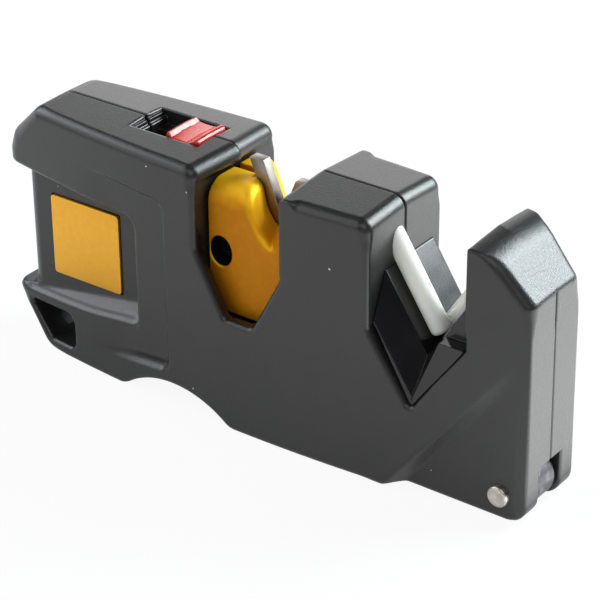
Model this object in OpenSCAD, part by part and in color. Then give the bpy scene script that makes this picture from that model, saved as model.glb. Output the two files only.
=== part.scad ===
// Hand-held pull-through knife sharpener.
// X runs along the length, the front face looks to -Y and the base lies on Z = 0.
// The origin is the middle of the base.

/* [Casing] */
// Overall length
body_l = 116.8; // [114:0.2:122]
// Height of the three blocks above the base
body_h = 51.6; // [51:0.2:54]
// Thickness at the middle of the bowed faces
body_t = 25; // [24.4:0.2:28]
// Thickness at the two ends
end_t = 15.2; // [14.4:0.2:16.4]
// Wall between a cavity and the outside
wall = 2.2; // [1.8:0.1:2.4]
// How far the tops fall from the parting line to the faces
top_fall = 0.8; // [0.2:0.1:1.2]
// Rounding of the block corners, seen from the front
block_round = 1; // [0.5:0.1:1.5]
// Rounding of the two ends, seen from above
end_round = 3; // [2:0.2:4]
// Thickness of the hinge corner
ear_t = 16.2; // [15.6:0.2:16.8]
// Height of the crease over the hinge corner at the right end
crease_z = 32.1; // [31:0.1:33]

/* [Grip] */
// Thickness of the waist between the two thumb recesses
grip_t = 14; // [13:0.2:15]
// Setback of the waist from the left end
waist_inset = 4; // [3:0.2:5]
// Right end of the thumb recess, from the left end
grip_reach = 33.9; // [32:0.1:35]
// Height of the lip over the thumb recess at the left end
lip_z = 37.8; // [37:0.1:38.6]
// Height of the ledge under the thumb recess at the left end
ledge_z = 12; // [11.6:0.1:12.4]
// Rise of the ledge to its right end
ledge_rise = 5; // [4.6:0.1:5]
// Slope of the ledge towards the faces
ledge_slope = 35; // [15:1:38]
// Width of the finger arch in the base
arch_w = 26; // [22:0.5:28]
// Height of the finger arch
arch_h = 4.8; // [3:0.1:5.2]
// Middle of the finger arch, from the left end
arch_from_end = 42.9; // [41:0.1:45]

// Left end of the lanyard hole, from the left end
loop_from_end = 4; // [3.6:0.1:4.4]
// Length of the lanyard hole
loop_l = 12.6; // [11:0.1:13]
// Height of the bar under the lanyard hole
loop_bar = 2.4; // [2:0.1:2.8]

/* [Badge] */
// Side of the square badge
badge_w = 16.5; // [14:0.1:17]
// Thickness of the badge
badge_t = 0.8; // [0.6:0.1:1.2]
// Depth of the pocket that it sits in
badge_pocket = 0.4; // [0.2:0.1:0.5]
// Left edge of the badge, from the left end
badge_from_end = 10.5; // [9.5:0.1:11.5]
// Lower edge of the badge above the base
badge_z = 16.6; // [16.2:0.1:18]

/* [Carbide notch] */
// Width of the notch
notch_w = 18.8; // [18:0.1:20]
// Height where its walls turn into the funnel
notch_shoulder_z = 35; // [34:0.1:36]
// Height of its floor
notch_floor_z = 23; // [22.4:0.1:24]
// Width of its floor
notch_floor_w = 6; // [5:0.1:7]

// Depth of the relief behind the carrier in the left wall
relief_depth = 1.2; // [0.6:0.1:1.5]
// Height of the top of that relief
relief_top_z = 45.7; // [44:0.1:46]

/* [Carbide carrier] */
// Thickness of the carrier from front to rear
carrier_t = 17.2; // [16:0.1:17.6]
// Height of its top
carrier_top_z = 47.4; // [46.5:0.1:48]
// Height of its underside
carrier_bottom_z = 22.2; // [21.8:0.1:23]
// Length of the centring springs under it
spring_l = 3.4; // [3.2:0.1:3.8]
// Height of the axle that it rocks on
axle_z = 29.5; // [29.2:0.1:30]
// Diameter of the axle
axle_d = 3; // [2:0.1:3.2]
// Outer diameter of the axle bushes
bush_d = 5; // [4.6:0.1:6]
// Length of the axle bushes
bush_l = 3; // [2.5:0.1:3.2]
// Open space between the carrier halves beside the carbides
carrier_gap = 1.6; // [1:0.1:2]
// Height of the bottom of the blade slot
slot_floor_z = 34.5; // [33.8:0.1:35]
// Width of the blade slot at the top of the carrier
slot_top_w = 6.2; // [5.6:0.1:6.6]
// Width of the blade slot at its floor
slot_floor_w = 0.8; // [0.6:0.1:1.4]
// Distance of the blade slot to the right of the notch's middle
slot_shift = 1.55; // [1.2:0.05:1.8]
// Spacing of the two carrier screws
carrier_screw_span = 12.6; // [12.4:0.1:13]
// Height of the two carrier screws
carrier_screw_z = 34.3; // [34:0.1:34.4]

/* [Carbides] */
// Angle of each cutting edge from the upright
carbide_angle = 22; // [20:0.5:24]
// Thickness of each carbide bar
carbide_t = 2.2; // [1.8:0.1:2.6]
// Width of each carbide bar
carbide_w = 2.8; // [2.2:0.1:3]
// Height where the cutting edges cross
carbide_cross_z = 42.6; // [42:0.1:43.4]
// Distance of that crossing to the right of the notch's middle
carbide_x = 2; // [1.4:0.1:2.4]
// Height of the upper end of the left bar
carbide_top_z = 51; // [50:0.1:51.4]
// How much lower the right bar ends
carbide_right_drop = 3.4; // [3:0.1:4]
// Height of the lower ends
carbide_low_z = 36.6; // [36:0.1:38]

/* [Ceramic notch] */
// Middle of the notch, from the right end
hone_from_end = 21.75; // [21:0.05:22.5]
// Width of the notch
hone_w = 18.3; // [17.8:0.1:19]
// Height where its walls turn into the funnel
hone_shoulder_z = 31.3; // [30.8:0.1:32]
// Height of the point of the funnel
hone_tip_z = 17.1; // [16.4:0.1:18]
// Angle of each ceramic rod from the upright
hone_angle = 33; // [31:0.5:34]
// Height of the point of the seat under the rods
seat_tip_z = 26.3; // [25.8:0.1:27]
// Diameter of the ceramic rods
ceramic_d = 3.8; // [3.4:0.1:4.2]
// Length of the ceramic rods
ceramic_l = 22.5; // [21.5:0.1:23]
// Setback of the rod holder from the casing's face
holder_inset = 0.8; // [0.4:0.1:1.2]
// Half length of the straight seat, front to rear
seat_half = 6; // [5.6:0.1:6.4]
// Reach of the tongue that holds the rod holder in the casing
tongue = 1.5; // [1:0.1:1.6]
// Thickness of that tongue
tongue_t = 4; // [3:0.1:5]

/* [Lock] */
// Length of the button
button_l = 7.5; // [7:0.1:8]
// Width of the button
button_w = 8.6; // [8:0.1:9]
// How far the button stands above the parting line
button_proud = 0.2; // [0:0.1:0.8]
// Travel of the button
lock_travel = 6.5; // [5:0.1:6.6]
// Right end of the button, from the middle of the casing
button_right = 14.4; // [14:0.1:15]
// Depth of the button's pit
pit_depth = 3.4; // [3:0.1:3.6]
// Thickness of the slider under the pit
slider_t = 2; // [1.6:0.1:2.2]
// Width of the slider
slider_w = 6.6; // [6.2:0.1:7]
// Length of the slider
slider_l = 10; // [9.6:0.1:10.4]
// Diameter of the locking bolt
bolt_d = 1.8; // [1.4:0.1:1.9]
// Thickness of the detent leaf
leaf_t = 0.3; // [0.2:0.05:0.4]

// Setback of the slider from the right end of the button
slider_setback = 3.6; // [3.4:0.1:3.8]

/* [Folding rod] */
// Hinge pin from the right end
pin_from_end = 5.4; // [5.2:0.1:6]
// Height of the hinge pin above the base
pin_z = 4.8; // [4.8:0.1:5.2]
// Diameter of the hinge pin
pin_d = 4.1; // [3.6:0.1:4.2]
// How far the pin stands out on each side
pin_proud = 0.8; // [0.4:0.1:1.2]
// Diameter of the knuckle
knuckle_d = 9.4; // [8.8:0.1:9.5]
// Width of the knuckle
knuckle_w = 5.8; // [5.4:0.1:6]
// Wall of the bush in the knuckle
knuckle_bush_wall = 0.6; // [0.5:0.05:0.8]
// Thickness of the friction washers
washer_t = 0.6; // [0.5:0.05:0.8]
// Diameter of the friction washers
washer_d = 6.4; // [5.8:0.1:7]
// Diameter of the rod at the knuckle
rod_d = 5; // [4.4:0.1:5.4]
// Diameter of the rod at its tip
rod_tip_d = 3.4; // [2.8:0.1:4]
// Length of the rod from the pin to its tip
rod_l = 63.5; // [58:0.5:64.5]
// Length of the knuckle's neck, from the pin
neck_l = 10.5; // [9.5:0.1:12]
// Diameter of the knuckle's neck
neck_d = 6.6; // [6.2:0.1:6.8]

/* [Fasteners] */
// Diameter of the case screws
screw_d = 2.5; // [2:0.1:2.8]
// Diameter of the case screw heads
screw_head_d = 5; // [4.6:0.1:5.2]
// Height of the case screw heads
screw_head_h = 2; // [1.6:0.1:2.2]
// Seat of the case screw heads behind the parting line
screw_seat_y = 5; // [4.6:0.1:5.4]
// Outer diameter of the threaded inserts
insert_d = 4.2; // [3.8:0.1:4.6]
// Length of the threaded inserts
insert_l = 5; // [4.6:0.1:5.4]
// Screw in the head, from the left end
head_screw_in = 14.4; // [14:0.1:15]
// Screw in the head, below the top
head_screw_drop = 7.1; // [6.8:0.1:7.4]
// Screw beside the lanyard hole, from the left end
lobe_screw_in = 24.4; // [24:0.1:25]
// Height of the screw beside the lanyard hole
lobe_screw_z = 6.5; // [6:0.1:7]
// Screw in the right block, from the right end
horn_screw_in = 6.6; // [6.2:0.1:7]
// Screw in the right block, above the funnel's shoulder
horn_screw_rise = 4.7; // [4:0.1:6]
// Diameter of the small screws in the carrier and the lock
small_screw_d = 2; // [1.6:0.1:2.2]
// Diameter of the small screw heads
small_head_d = 4; // [3.6:0.1:4.2]
// Height of the small screw heads
small_head_h = 1.4; // [1.2:0.1:1.6]
// Diameter of the lock screw's head
lock_head_d = 3; // [2.8:0.1:3.2]
// Reach of the lock screw into the button
lock_bite = 1.8; // [1.5:0.1:1.9]
// Depth of the holes above the carrier's screw heads
screw_recess = 2.2; // [1.5:0.1:2.6]

/* [Clearances] */
// Running clearance round pins and axles
run_gap = 0.05; // [0.03:0.01:0.08]
// Space between pieces that are clamped together
seat_gap = 0.02; // [0.01:0.01:0.05]
// Space round sliding and rocking pieces
slide_gap = 0.3; // [0.25:0.05:0.35]

/* [Hidden] */
$fn = 64;

// Margin by which a cutting shape runs past the surface that it cuts
past = 1;
// Number of straight steps in a rounded corner of an outline
arc_steps = 5;

left_x = -body_l / 2;
right_x = body_l / 2;
half_t = body_t / 2;
bow_fall = half_t - end_t / 2;
bow_r = (right_x * right_x + bow_fall * bow_fall) / (2 * bow_fall);

// Head, lobe and horn corners of the casing's outline
head_top = 9.5;
head_drop = 7.7;
head_in = 1.2;
head_nose_drop = 11;
lobe_nose_z = 10.5;
lobe_in = 1.8;
lobe_low_z = 7;
lobe_base = 8;
horn_ridge_in = 8.3;
horn_shoulder_in = 0.5;
horn_drop = 8.7;
horn_round = 6;
base_round = 4.2;
notch_half = notch_w / 2;
hone_x = right_x - hone_from_end;
hone_half = hone_w / 2;

// Thumb recess
waist_x = left_x + waist_inset;
grip_right = left_x + grip_reach;
lip_fall = 1.5;
grip_half = grip_t / 2;
badge_x = left_x + badge_from_end;

// Lanyard hole
loop_left = left_x + loop_from_end;
loop_right = loop_left + loop_l;
loop_cover = 2.2;
loop_top_z = ledge_z - loop_cover;
loop_lean = 6;
loop_dip = 0.6;

// Finger arch
arch_x = left_x + arch_from_end;
arch_r = (arch_w * arch_w / 4 + arch_h * arch_h) / (2 * arch_h);

// Hinge corner
pin_x = right_x - pin_from_end;
crease_low_z = 2.8;
crease_low_in = 0.05;
crease_base_in = -2.3;
crease_round = 8;
crease_low_x = hone_x + crease_low_in;
crease_base_x = hone_x + crease_base_in;
washer_y = knuckle_w / 2 + seat_gap;
slot_half = washer_y + washer_t + seat_gap;
slot_top_z = pin_z + knuckle_d / 2 + slide_gap;
channel_half = neck_d / 2 + slide_gap;
channel_top_z = pin_z + neck_d / 2 + slide_gap;
rod_tip_x = pin_x - rod_l;
channel_left = rod_tip_x - slide_gap;
knuckle_bore = pin_d + 2 * run_gap + 2 * knuckle_bush_wall;

// Relief in the left wall of the carbide notch, behind the carrier
relief_wall = 1.4;

// Carrier and its chamber
carrier_half_w = notch_half - slide_gap;
carrier_half_t = carrier_t / 2;
chamber_half = half_t - wall;
chamber_floor_z = carrier_bottom_z - spring_l;
pack_half = carbide_t + seat_gap;
web_top_z = carbide_low_z - seat_gap;
pocket_half_w = 5.6;
spring_y = 5.6;
spring_d = 3.6;
spring_wire = 0.6;
spring_turns = 3;
spring_sides = 8;
spring_steps = 16;
nut_af = 4;
nut_h = 1.6;
nut_y = carrier_half_t - screw_recess - nut_h;

// Lock
pit_half_w = button_w / 2 + slide_gap;
pit_right = -button_right + slide_gap;
pit_left = -button_right - button_l - lock_travel - slide_gap;
pit_floor_z = body_h - pit_depth;
button_z = pit_floor_z + slide_gap;
pit_floor_t = 2.4;
slider_top_z = pit_floor_z - pit_floor_t - slide_gap;
slider_z = slider_top_z - slider_t;
slider_right = -button_right - slider_setback;
slider_left = slider_right - slider_l;
post_l = 3.4;
post_w = 4;
post_setback = 2.2;
post_x = slider_right - post_setback;
guide_left = slider_right + slide_gap;
slider_pocket_left = slider_left - lock_travel - slide_gap;
leaf_h = 1.6;
leaf_inset = 1;
slider_pocket_z = slider_z - leaf_h - slide_gap;
bolt_z = slider_z + slider_t / 2;

// Cavities inside the casing
bush_wall = notch_half + bush_l + wall / 2;
cavity_floor_z = channel_top_z + wall;
screw_land = 7;
case_screw_places = [
    [left_x + head_screw_in, body_h - head_screw_drop],
    [left_x + lobe_screw_in, lobe_screw_z],
    [(notch_half + hone_x - hone_half) / 2, cavity_floor_z + screw_land / 2],
    [right_x - horn_screw_in, hone_shoulder_z + horn_screw_rise]
];

// Ceramic station
holder_half = half_t - (hone_x * hone_x) / (2 * bow_r) - holder_inset;
funnel_step = 1.8;
funnel_tip_z = hone_tip_z + funnel_step;
tongue_rise = 4;
funnel_tilt = atan2(seat_tip_z - funnel_tip_z, holder_half - seat_half);
seat_reach = hone_half - seat_gap;
rod_y = ceramic_d / 2 + run_gap;
rod_foot = ceramic_d / tan(2 * hone_angle) + slide_gap;

// Points on the arc that rounds corner p between its neighbours a and b
function unit(v) = v / norm(v);
function turned(v, t) = [v.x * cos(t) - v.y * sin(t), v.x * sin(t) + v.y * cos(t)];
function corner(p, a, b, r) =
    r <= 0 ? [p] :
    let (
        u = unit(a - p),
        v = unit(b - p),
        half = acos(u * v) / 2,
        centre = p + unit(u + v) * r / sin(half),
        from = p + u * r / tan(half) - centre,
        to = p + v * r / tan(half) - centre,
        turn = (cross(from, to) > 0 ? 1 : -1) * (180 - 2 * half)
    )
    [for (i = [0:arc_steps]) centre + turned(from, turn * i / arc_steps)];

// An outline whose corners are given as [x, y, radius]
function flat(p) = [p.x, p.y];
function rounded(pts) =
    let (n = len(pts))
    [for (i = [0:n - 1])
        each corner(flat(pts[i]), flat(pts[(i + n - 1) % n]), flat(pts[(i + 1) % n]), pts[i].z)];

// Casing seen from the front
case_outline = [
    [left_x + lobe_base, 0, base_round],
    [right_x, 0, base_round],
    [right_x - horn_shoulder_in, body_h - horn_drop, block_round],
    [right_x - horn_ridge_in, body_h, horn_round],
    [hone_x + hone_half, body_h, block_round],
    [hone_x + hone_half, hone_shoulder_z, block_round],
    [hone_x, hone_tip_z, block_round],
    [hone_x - hone_half, hone_shoulder_z, block_round],
    [hone_x - hone_half, body_h, block_round],
    [notch_half, body_h, block_round],
    [notch_half, notch_shoulder_z, block_round],
    [notch_floor_w / 2, notch_floor_z, block_round],
    [-notch_floor_w / 2, notch_floor_z, block_round],
    [-notch_half, notch_shoulder_z, block_round],
    [-notch_half, body_h, block_round],
    [left_x + head_top, body_h, 2 * block_round],
    [left_x + head_in, body_h - head_drop, 2 * block_round],
    [left_x, body_h - head_nose_drop, block_round],
    [left_x, lobe_nose_z, block_round],
    [left_x + lobe_in, lobe_low_z, 2 * block_round]
];

// Thumb recess seen from the front, open at the left end
grip_outline = [
    [left_x - past, ledge_z, 0],
    [grip_right, ledge_z + ledge_rise, 2 * block_round],
    [grip_right, lip_z - lip_fall, 2 * block_round],
    [left_x - past, lip_z, 0]
];

loop_outline = [
    [loop_left, loop_top_z - loop_dip, block_round],
    [loop_right, loop_top_z, block_round],
    [loop_right, loop_bar, block_round],
    [loop_left + loop_lean, loop_bar, block_round]
];

// Part of the hinge corner that is thinner than the rest
ear_outline = [
    [right_x + past, crease_z, 0],
    [right_x, crease_z, 0],
    [crease_low_x, crease_low_z, crease_round],
    [crease_base_x, 0, 0],
    [crease_base_x, -past, 0],
    [right_x + past, -past, 0]
];

// Extrudes an outline in X and Z from y0 to y1
module slab(points, y0, y1) {
    translate([0, y1, 0])
        rotate([90, 0, 0])
            linear_extrude(y1 - y0)
                polygon(points);
}

module bar_x(x0, x1, y, z, d) {
    translate([x0, y, z])
        rotate([0, 90, 0])
            cylinder(h = x1 - x0, d = d);
}

module bar_y(x, z, y0, y1, d) {
    translate([x, y0, z])
        rotate([-90, 0, 0])
            cylinder(h = y1 - y0, d = d);
}

module block(low, high) {
    translate(low)
        cube(high - low);
}

module both_sides() {
    children();
    mirror([0, 1, 0])
        children();
}

// Bowed faces, falling tops and rounded ends
module face_bow() {
    translate([0, bow_r - half_t, -past])
        cylinder(h = body_h + 2 * past, r = bow_r, $fn = 180);
}

module top_roof() {
    side = half_t + past;
    rotate([90, 0, 90])
        translate([0, 0, left_x - past])
            linear_extrude(body_l + 2 * past)
                polygon([
                    [-side, -past], [side, -past],
                    [side, body_h - top_fall * side / half_t],
                    [0, body_h],
                    [-side, body_h - top_fall * side / half_t]
                ]);
}

module end_plan() {
    flare = 20;
    translate([0, 0, -past])
        linear_extrude(body_h + 2 * past)
            polygon(rounded([
                [left_x, -end_t / 2, end_round], [left_x + flare, -half_t - past, 0],
                [right_x - flare, -half_t - past, 0], [right_x, -end_t / 2, block_round],
                [right_x, end_t / 2, block_round], [right_x - flare, half_t + past, 0],
                [left_x + flare, half_t + past, 0], [left_x, end_t / 2, end_round]
            ]));
}

module waist_core() {
    translate([0, 0, -past])
        linear_extrude(body_h + 2 * past)
            polygon(rounded([
                [waist_x, -grip_half, end_round], [grip_right + past, -grip_half, 0],
                [grip_right + past, grip_half, 0], [waist_x, grip_half, end_round]
            ]));
}

module case_block() {
    difference() {
        intersection() {
            slab(rounded(case_outline), -half_t, half_t);
            both_sides() slab_half();
            top_roof();
            end_plan();
        }
        difference() {
            slab(rounded(grip_outline), -half_t - past, half_t + past);
            waist_core();
        }
        slab(rounded(loop_outline), -half_t - past, half_t + past);
        both_sides() ledge_wedge();
        bar_y(arch_x, arch_h - arch_r, -half_t - past, half_t + past, 2 * arch_r);
        both_sides() slab(rounded(ear_outline), -half_t - past, -ear_t / 2);
    }
}

// Space over the sloping part of the ledge in front of the waist
module ledge_wedge() {
    reach = norm([grip_reach, ledge_rise]);
    out = half_t - grip_half + past;
    translate([left_x, -grip_half, ledge_z])
        rotate([0, -atan2(ledge_rise, grip_reach), 0])
            rotate([90, 0, 90])
                linear_extrude(reach)
                    polygon([[0, 0], [0, past], [-out, past], [-out, -out * tan(ledge_slope)]]);
}

// The bowed half of the casing on one side of the parting line
module slab_half() {
    intersection() {
        face_bow();
        block([left_x - past, -half_t - past, -past], [right_x + past, 0, body_h + past]);
    }
}

// Spaces that both shells share
module case_cuts() {
    block([-notch_half, -chamber_half, chamber_floor_z],
          [notch_half, chamber_half, notch_shoulder_z]);
    bar_x(-notch_half - bush_l, notch_half + bush_l, 0, axle_z, bush_d + 2 * seat_gap);
    lock_cuts();
    hone_cuts();
    rod_cuts();
    block([waist_x + wall, wall - grip_half, ledge_z + ledge_rise + wall],
          [grip_right - wall, grip_half - wall, lip_z - lip_fall - wall]);
    block([grip_right + wall, wall - grip_half - wall, cavity_floor_z],
          [-bush_wall, grip_half, slider_pocket_z - wall]);
    block([bush_wall, wall - grip_half - wall, cavity_floor_z + screw_land + wall],
          [hone_x - hone_half - tongue - wall, grip_half, body_h - 2 * wall]);
    for (p = case_screw_places) case_screw_cut(p);
}

module case_screw_cut(p) {
    bar_y(p.x, p.y, screw_seat_y, half_t + past, screw_head_d + 2 * slide_gap);
    bar_y(p.x, p.y, 0, screw_seat_y + past, screw_d + 2 * run_gap);
    bar_y(p.x, p.y, -insert_l - 2 * seat_gap, past, insert_d + 2 * seat_gap);
}

module lock_cuts() {
    block([pit_left, -pit_half_w, pit_floor_z], [pit_right, pit_half_w, body_h + past]);
    block([post_x - post_l / 2 - lock_travel - slide_gap, -post_w / 2 - slide_gap, slider_z],
          [post_x + post_l / 2 + slide_gap, post_w / 2 + slide_gap, pit_floor_z + past]);
    block([slider_pocket_left, -slider_w / 2 - slide_gap, slider_pocket_z],
          [guide_left, slider_w / 2 + slide_gap, slider_top_z + slide_gap]);
    bar_x(guide_left - past, -notch_half + past, 0, bolt_z, bolt_d + 2 * run_gap);
}

module hone_cuts() {
    slab(tongue_outline(seat_gap), -tongue_t / 2 - seat_gap, tongue_t / 2 + seat_gap);
    ceramic_rod(-1, seat_gap);
    ceramic_rod(1, seat_gap);
}

module rod_cuts() {
    bar_y(pin_x, pin_z, -half_t - past, half_t + past, pin_d + 2 * seat_gap);
    block([pin_x - knuckle_d / 2 - slide_gap, -slot_half, -past],
          [right_x + past, slot_half, slot_top_z]);
    block([channel_left, -channel_half, -past], [pin_x, channel_half, channel_top_z]);
}

// Outline of the holder's tongue, wider than the notch
function tongue_outline(gap) =
    let (
        side = hone_half + tongue + gap,
        top = hone_shoulder_z + tongue_rise,
        tip = hone_tip_z - (tongue + gap) / sin(hone_angle)
    )
    [
        [hone_x - side, top + gap], [hone_x - side, hone_shoulder_z],
        [hone_x, tip],
        [hone_x + side, hone_shoulder_z], [hone_x + side, top + gap]
    ];

module front_shell() {
    color([0.13, 0.13, 0.13])
        difference() {
            intersection() {
                case_block();
                block([left_x - past, -half_t - past, -past], [right_x + past, -seat_gap, body_h + past]);
            }
            case_cuts();
            block([badge_x - seat_gap, -grip_half - past, badge_z - seat_gap],
                  [badge_x + badge_w + seat_gap, badge_pocket - grip_half, badge_z + badge_w + seat_gap]);
        }
}

module rear_shell() {
    color([0.15, 0.15, 0.15])
        difference() {
            intersection() {
                case_block();
                block([left_x - past, seat_gap, -past], [right_x + past, half_t + past, body_h + past]);
            }
            case_cuts();
            block([-notch_half - relief_depth, 0, notch_shoulder_z],
                  [-notch_half + past, half_t - relief_wall, relief_top_z]);
        }
}

module badge_plate() {
    back = badge_pocket - grip_half - seat_gap;
    color([0.85, 0.62, 0.2])
        block([badge_x, back - badge_t, badge_z], [badge_x + badge_w, back, badge_z + badge_w]);
}

// A screw along Y whose head seats at y and whose point looks to -Y
module screw(p, y, shank_d, shank_l, head_d, head_h) {
    key_d = head_d / 2;
    bar_y(p.x, p.y, y - shank_l, y + head_h / 2, shank_d);
    difference() {
        bar_y(p.x, p.y, y + seat_gap, y + head_h, head_d);
        translate([p.x, y + head_h / 2, p.y])
            rotate([-90, 0, 0])
                cylinder(h = head_h, d = key_d, $fn = 6);
    }
}

module case_screws() {
    reach = screw_seat_y + insert_l - past;
    color([0.55, 0.55, 0.57])
        for (p = case_screw_places) screw(p, screw_seat_y, screw_d, reach, screw_head_d, screw_head_h);
}

module case_inserts() {
    color([0.78, 0.62, 0.3])
        for (p = case_screw_places)
            difference() {
                bar_y(p.x, p.y, -insert_l - seat_gap, -seat_gap, insert_d);
                bar_y(p.x, p.y, -insert_l - past, past, screw_d + 2 * seat_gap);
            }
}

// V shaped trough that carries the ceramic rods, flared to the front
module ceramic_holder() {
    inner_top = seat_tip_z + seat_reach / tan(hone_angle);
    flare = atan(tan(hone_angle) / cos(funnel_tilt));
    tall = 60;
    color([0.03, 0.03, 0.035])
        difference() {
            union() {
                slab(rounded([
                    [hone_x - seat_reach, inner_top, 0],
                    [hone_x - seat_reach, hone_shoulder_z + 2 * seat_gap, block_round],
                    [hone_x, hone_tip_z + 4 * seat_gap, block_round],
                    [hone_x + seat_reach, hone_shoulder_z + 2 * seat_gap, block_round],
                    [hone_x + seat_reach, inner_top, 0]
                ]), -holder_half, holder_half);
                slab(tongue_outline(0), -tongue_t / 2, tongue_t / 2);
            }
            slab([
                [hone_x - tall * tan(hone_angle), seat_tip_z + tall], [hone_x, seat_tip_z],
                [hone_x + tall * tan(hone_angle), seat_tip_z + tall]
            ], -half_t - past, half_t + past);
            translate([hone_x, -seat_half, seat_tip_z])
                rotate([funnel_tilt, 0, 0])
                    slab([[-tall * tan(flare), tall], [0, 0], [tall * tan(flare), tall]], -tall, tall);
        }
}

// A rod that leans to the left (side -1, in front) or to the right (side 1, behind)
module ceramic_rod(side, gap) {
    translate([hone_x, side * rod_y, seat_tip_z])
        rotate([0, side * hone_angle, 0])
            translate([-side * (ceramic_d / 2 + run_gap), 0, rod_foot - gap])
                cylinder(h = ceramic_l - rod_foot + 2 * gap, d = ceramic_d + 2 * gap);
}

module ceramic_left() {
    color([0.93, 0.93, 0.88])
        ceramic_rod(-1, 0);
}

module ceramic_right() {
    color([0.93, 0.93, 0.88])
        ceramic_rod(1, 0);
}

module axle_bushes() {
    color([0.7, 0.52, 0.3])
        for (side = [-1, 1])
            difference() {
                bar_x(side * (notch_half + bush_l / 2) - bush_l / 2 + seat_gap,
                      side * (notch_half + bush_l / 2) + bush_l / 2 - seat_gap, 0, axle_z, bush_d);
                bar_x(-body_l, body_l, 0, axle_z, axle_d + 2 * run_gap);
            }
}

module carrier_axle() {
    color([0.6, 0.6, 0.62])
        bar_x(slide_gap - notch_half - bush_l, notch_half + bush_l - slide_gap, 0, axle_z, axle_d);
}

// Half of the carrier in front of the parting line
module carrier_half() {
    difference() {
        block([-carrier_half_w, -carrier_half_t, carrier_bottom_z],
              [carrier_half_w, -seat_gap, carrier_top_z]);
        block([-notch_half, -carrier_gap / 2, web_top_z], [notch_half, past, carrier_top_z + past]);
        block([carbide_x - pocket_half_w, -pack_half, web_top_z],
              [carbide_x + pocket_half_w, past, carrier_top_z + past]);
        translate([slot_shift, 0, 0])
            slab([
                [-slot_top_w / 2, carrier_top_z + past], [-slot_top_w / 2, carrier_top_z],
                [-slot_floor_w / 2, slot_floor_z], [slot_floor_w / 2, slot_floor_z],
                [slot_top_w / 2, carrier_top_z], [slot_top_w / 2, carrier_top_z + past]
            ], -half_t, half_t);
        bar_x(-notch_half, notch_half, 0, axle_z, axle_d + 2 * seat_gap);
        for (side = [-1, 1])
            bar_y(side * carrier_screw_span / 2, carrier_screw_z, -half_t, half_t,
                  small_screw_d + 2 * run_gap);
        bar_x(-notch_half, -carrier_half_w + 2 * bolt_d, 0, bolt_z, bolt_d + 2 * slide_gap);
    }
}

module carrier_front() {
    color([0.85, 0.58, 0.12])
        difference() {
            carrier_half();
            for (side = [-1, 1])
                bar_y(side * carrier_screw_span / 2, carrier_screw_z, -half_t,
                      screw_recess + small_head_h - carrier_half_t, small_head_d + 2 * run_gap);
        }
}

module carrier_rear() {
    color([0.85, 0.58, 0.12])
        difference() {
            mirror([0, 1, 0]) carrier_half();
            for (side = [-1, 1]) nut_prism(side, nut_y, half_t, nut_af + 2 * run_gap);
        }
}

// Hexagon across flats af, along Y, at one of the carrier screws
module nut_prism(side, y0, y1, af) {
    translate([side * carrier_screw_span / 2, y0, carrier_screw_z])
        rotate([-90, 0, 0])
            cylinder(h = y1 - y0, d = af / cos(30), $fn = 6);
}

module carrier_screws() {
    head_y = screw_recess + small_head_h - carrier_half_t;
    reach = nut_y + nut_h - head_y;
    color([0.5, 0.5, 0.52])
        for (side = [-1, 1])
            mirror([0, 1, 0])
                screw([side * carrier_screw_span / 2, carrier_screw_z], -head_y, small_screw_d, reach,
                      small_head_d, small_head_h);
}

module carrier_nuts() {
    color([0.62, 0.62, 0.64])
        for (side = [-1, 1])
            difference() {
                nut_prism(side, nut_y + seat_gap, nut_y + nut_h, nut_af);
                bar_y(side * carrier_screw_span / 2, carrier_screw_z, -half_t, half_t,
                      small_screw_d + 2 * seat_gap);
            }
}

// A bar whose inner edge leans from the crossing point: left in front, right behind
module carbide(side) {
    lean = tan(carbide_angle);
    across = carbide_w / cos(carbide_angle);
    top_z = side < 0 ? carbide_top_z : carbide_top_z - carbide_right_drop;
    top_x = (top_z - carbide_cross_z) * lean;
    low_x = (carbide_low_z - carbide_cross_z) * lean;
    y0 = side < 0 ? -carbide_t : seat_gap;
    slab([
        [carbide_x + side * top_x, top_z], [carbide_x + side * (top_x + across), top_z],
        [carbide_x + side * (low_x + across), carbide_low_z], [carbide_x + side * low_x, carbide_low_z]
    ], y0, y0 + carbide_t - seat_gap);
}

module carbide_left() {
    color([0.5, 0.5, 0.5])
        carbide(-1);
}

module carbide_right() {
    color([0.5, 0.5, 0.5])
        carbide(1);
}

// A coil from z0 to z1 whose wire has spring_sides flats
module coil(z0, z1) {
    count = spring_turns * spring_steps;
    centre_r = (spring_d - spring_wire) / 2;
    rise = z1 - z0 - spring_wire;
    points = [
        for (i = [0:count], j = [0:spring_sides - 1])
            let (
                a = 360 * i / spring_steps,
                b = 360 * j / spring_sides,
                r = centre_r + spring_wire / 2 * cos(b)
            )
            [r * cos(a), r * sin(a), z0 + spring_wire / 2 + rise * i / count + spring_wire / 2 * sin(b)]
    ];
    sides = [
        for (i = [0:count - 1], j = [0:spring_sides - 1])
            let (k = (j + 1) % spring_sides, a = i * spring_sides, b = a + spring_sides)
            [a + j, a + k, b + k, b + j]
    ];
    first = [for (j = [spring_sides - 1:-1:0]) j];
    last = [for (j = [0:spring_sides - 1]) count * spring_sides + j];
    polyhedron(points, concat([first, last], sides));
}

module centring_springs() {
    color([0.65, 0.65, 0.67])
        both_sides()
            translate([0, -spring_y, 0])
                coil(chamber_floor_z + seat_gap, carrier_bottom_z - seat_gap);
}

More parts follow.
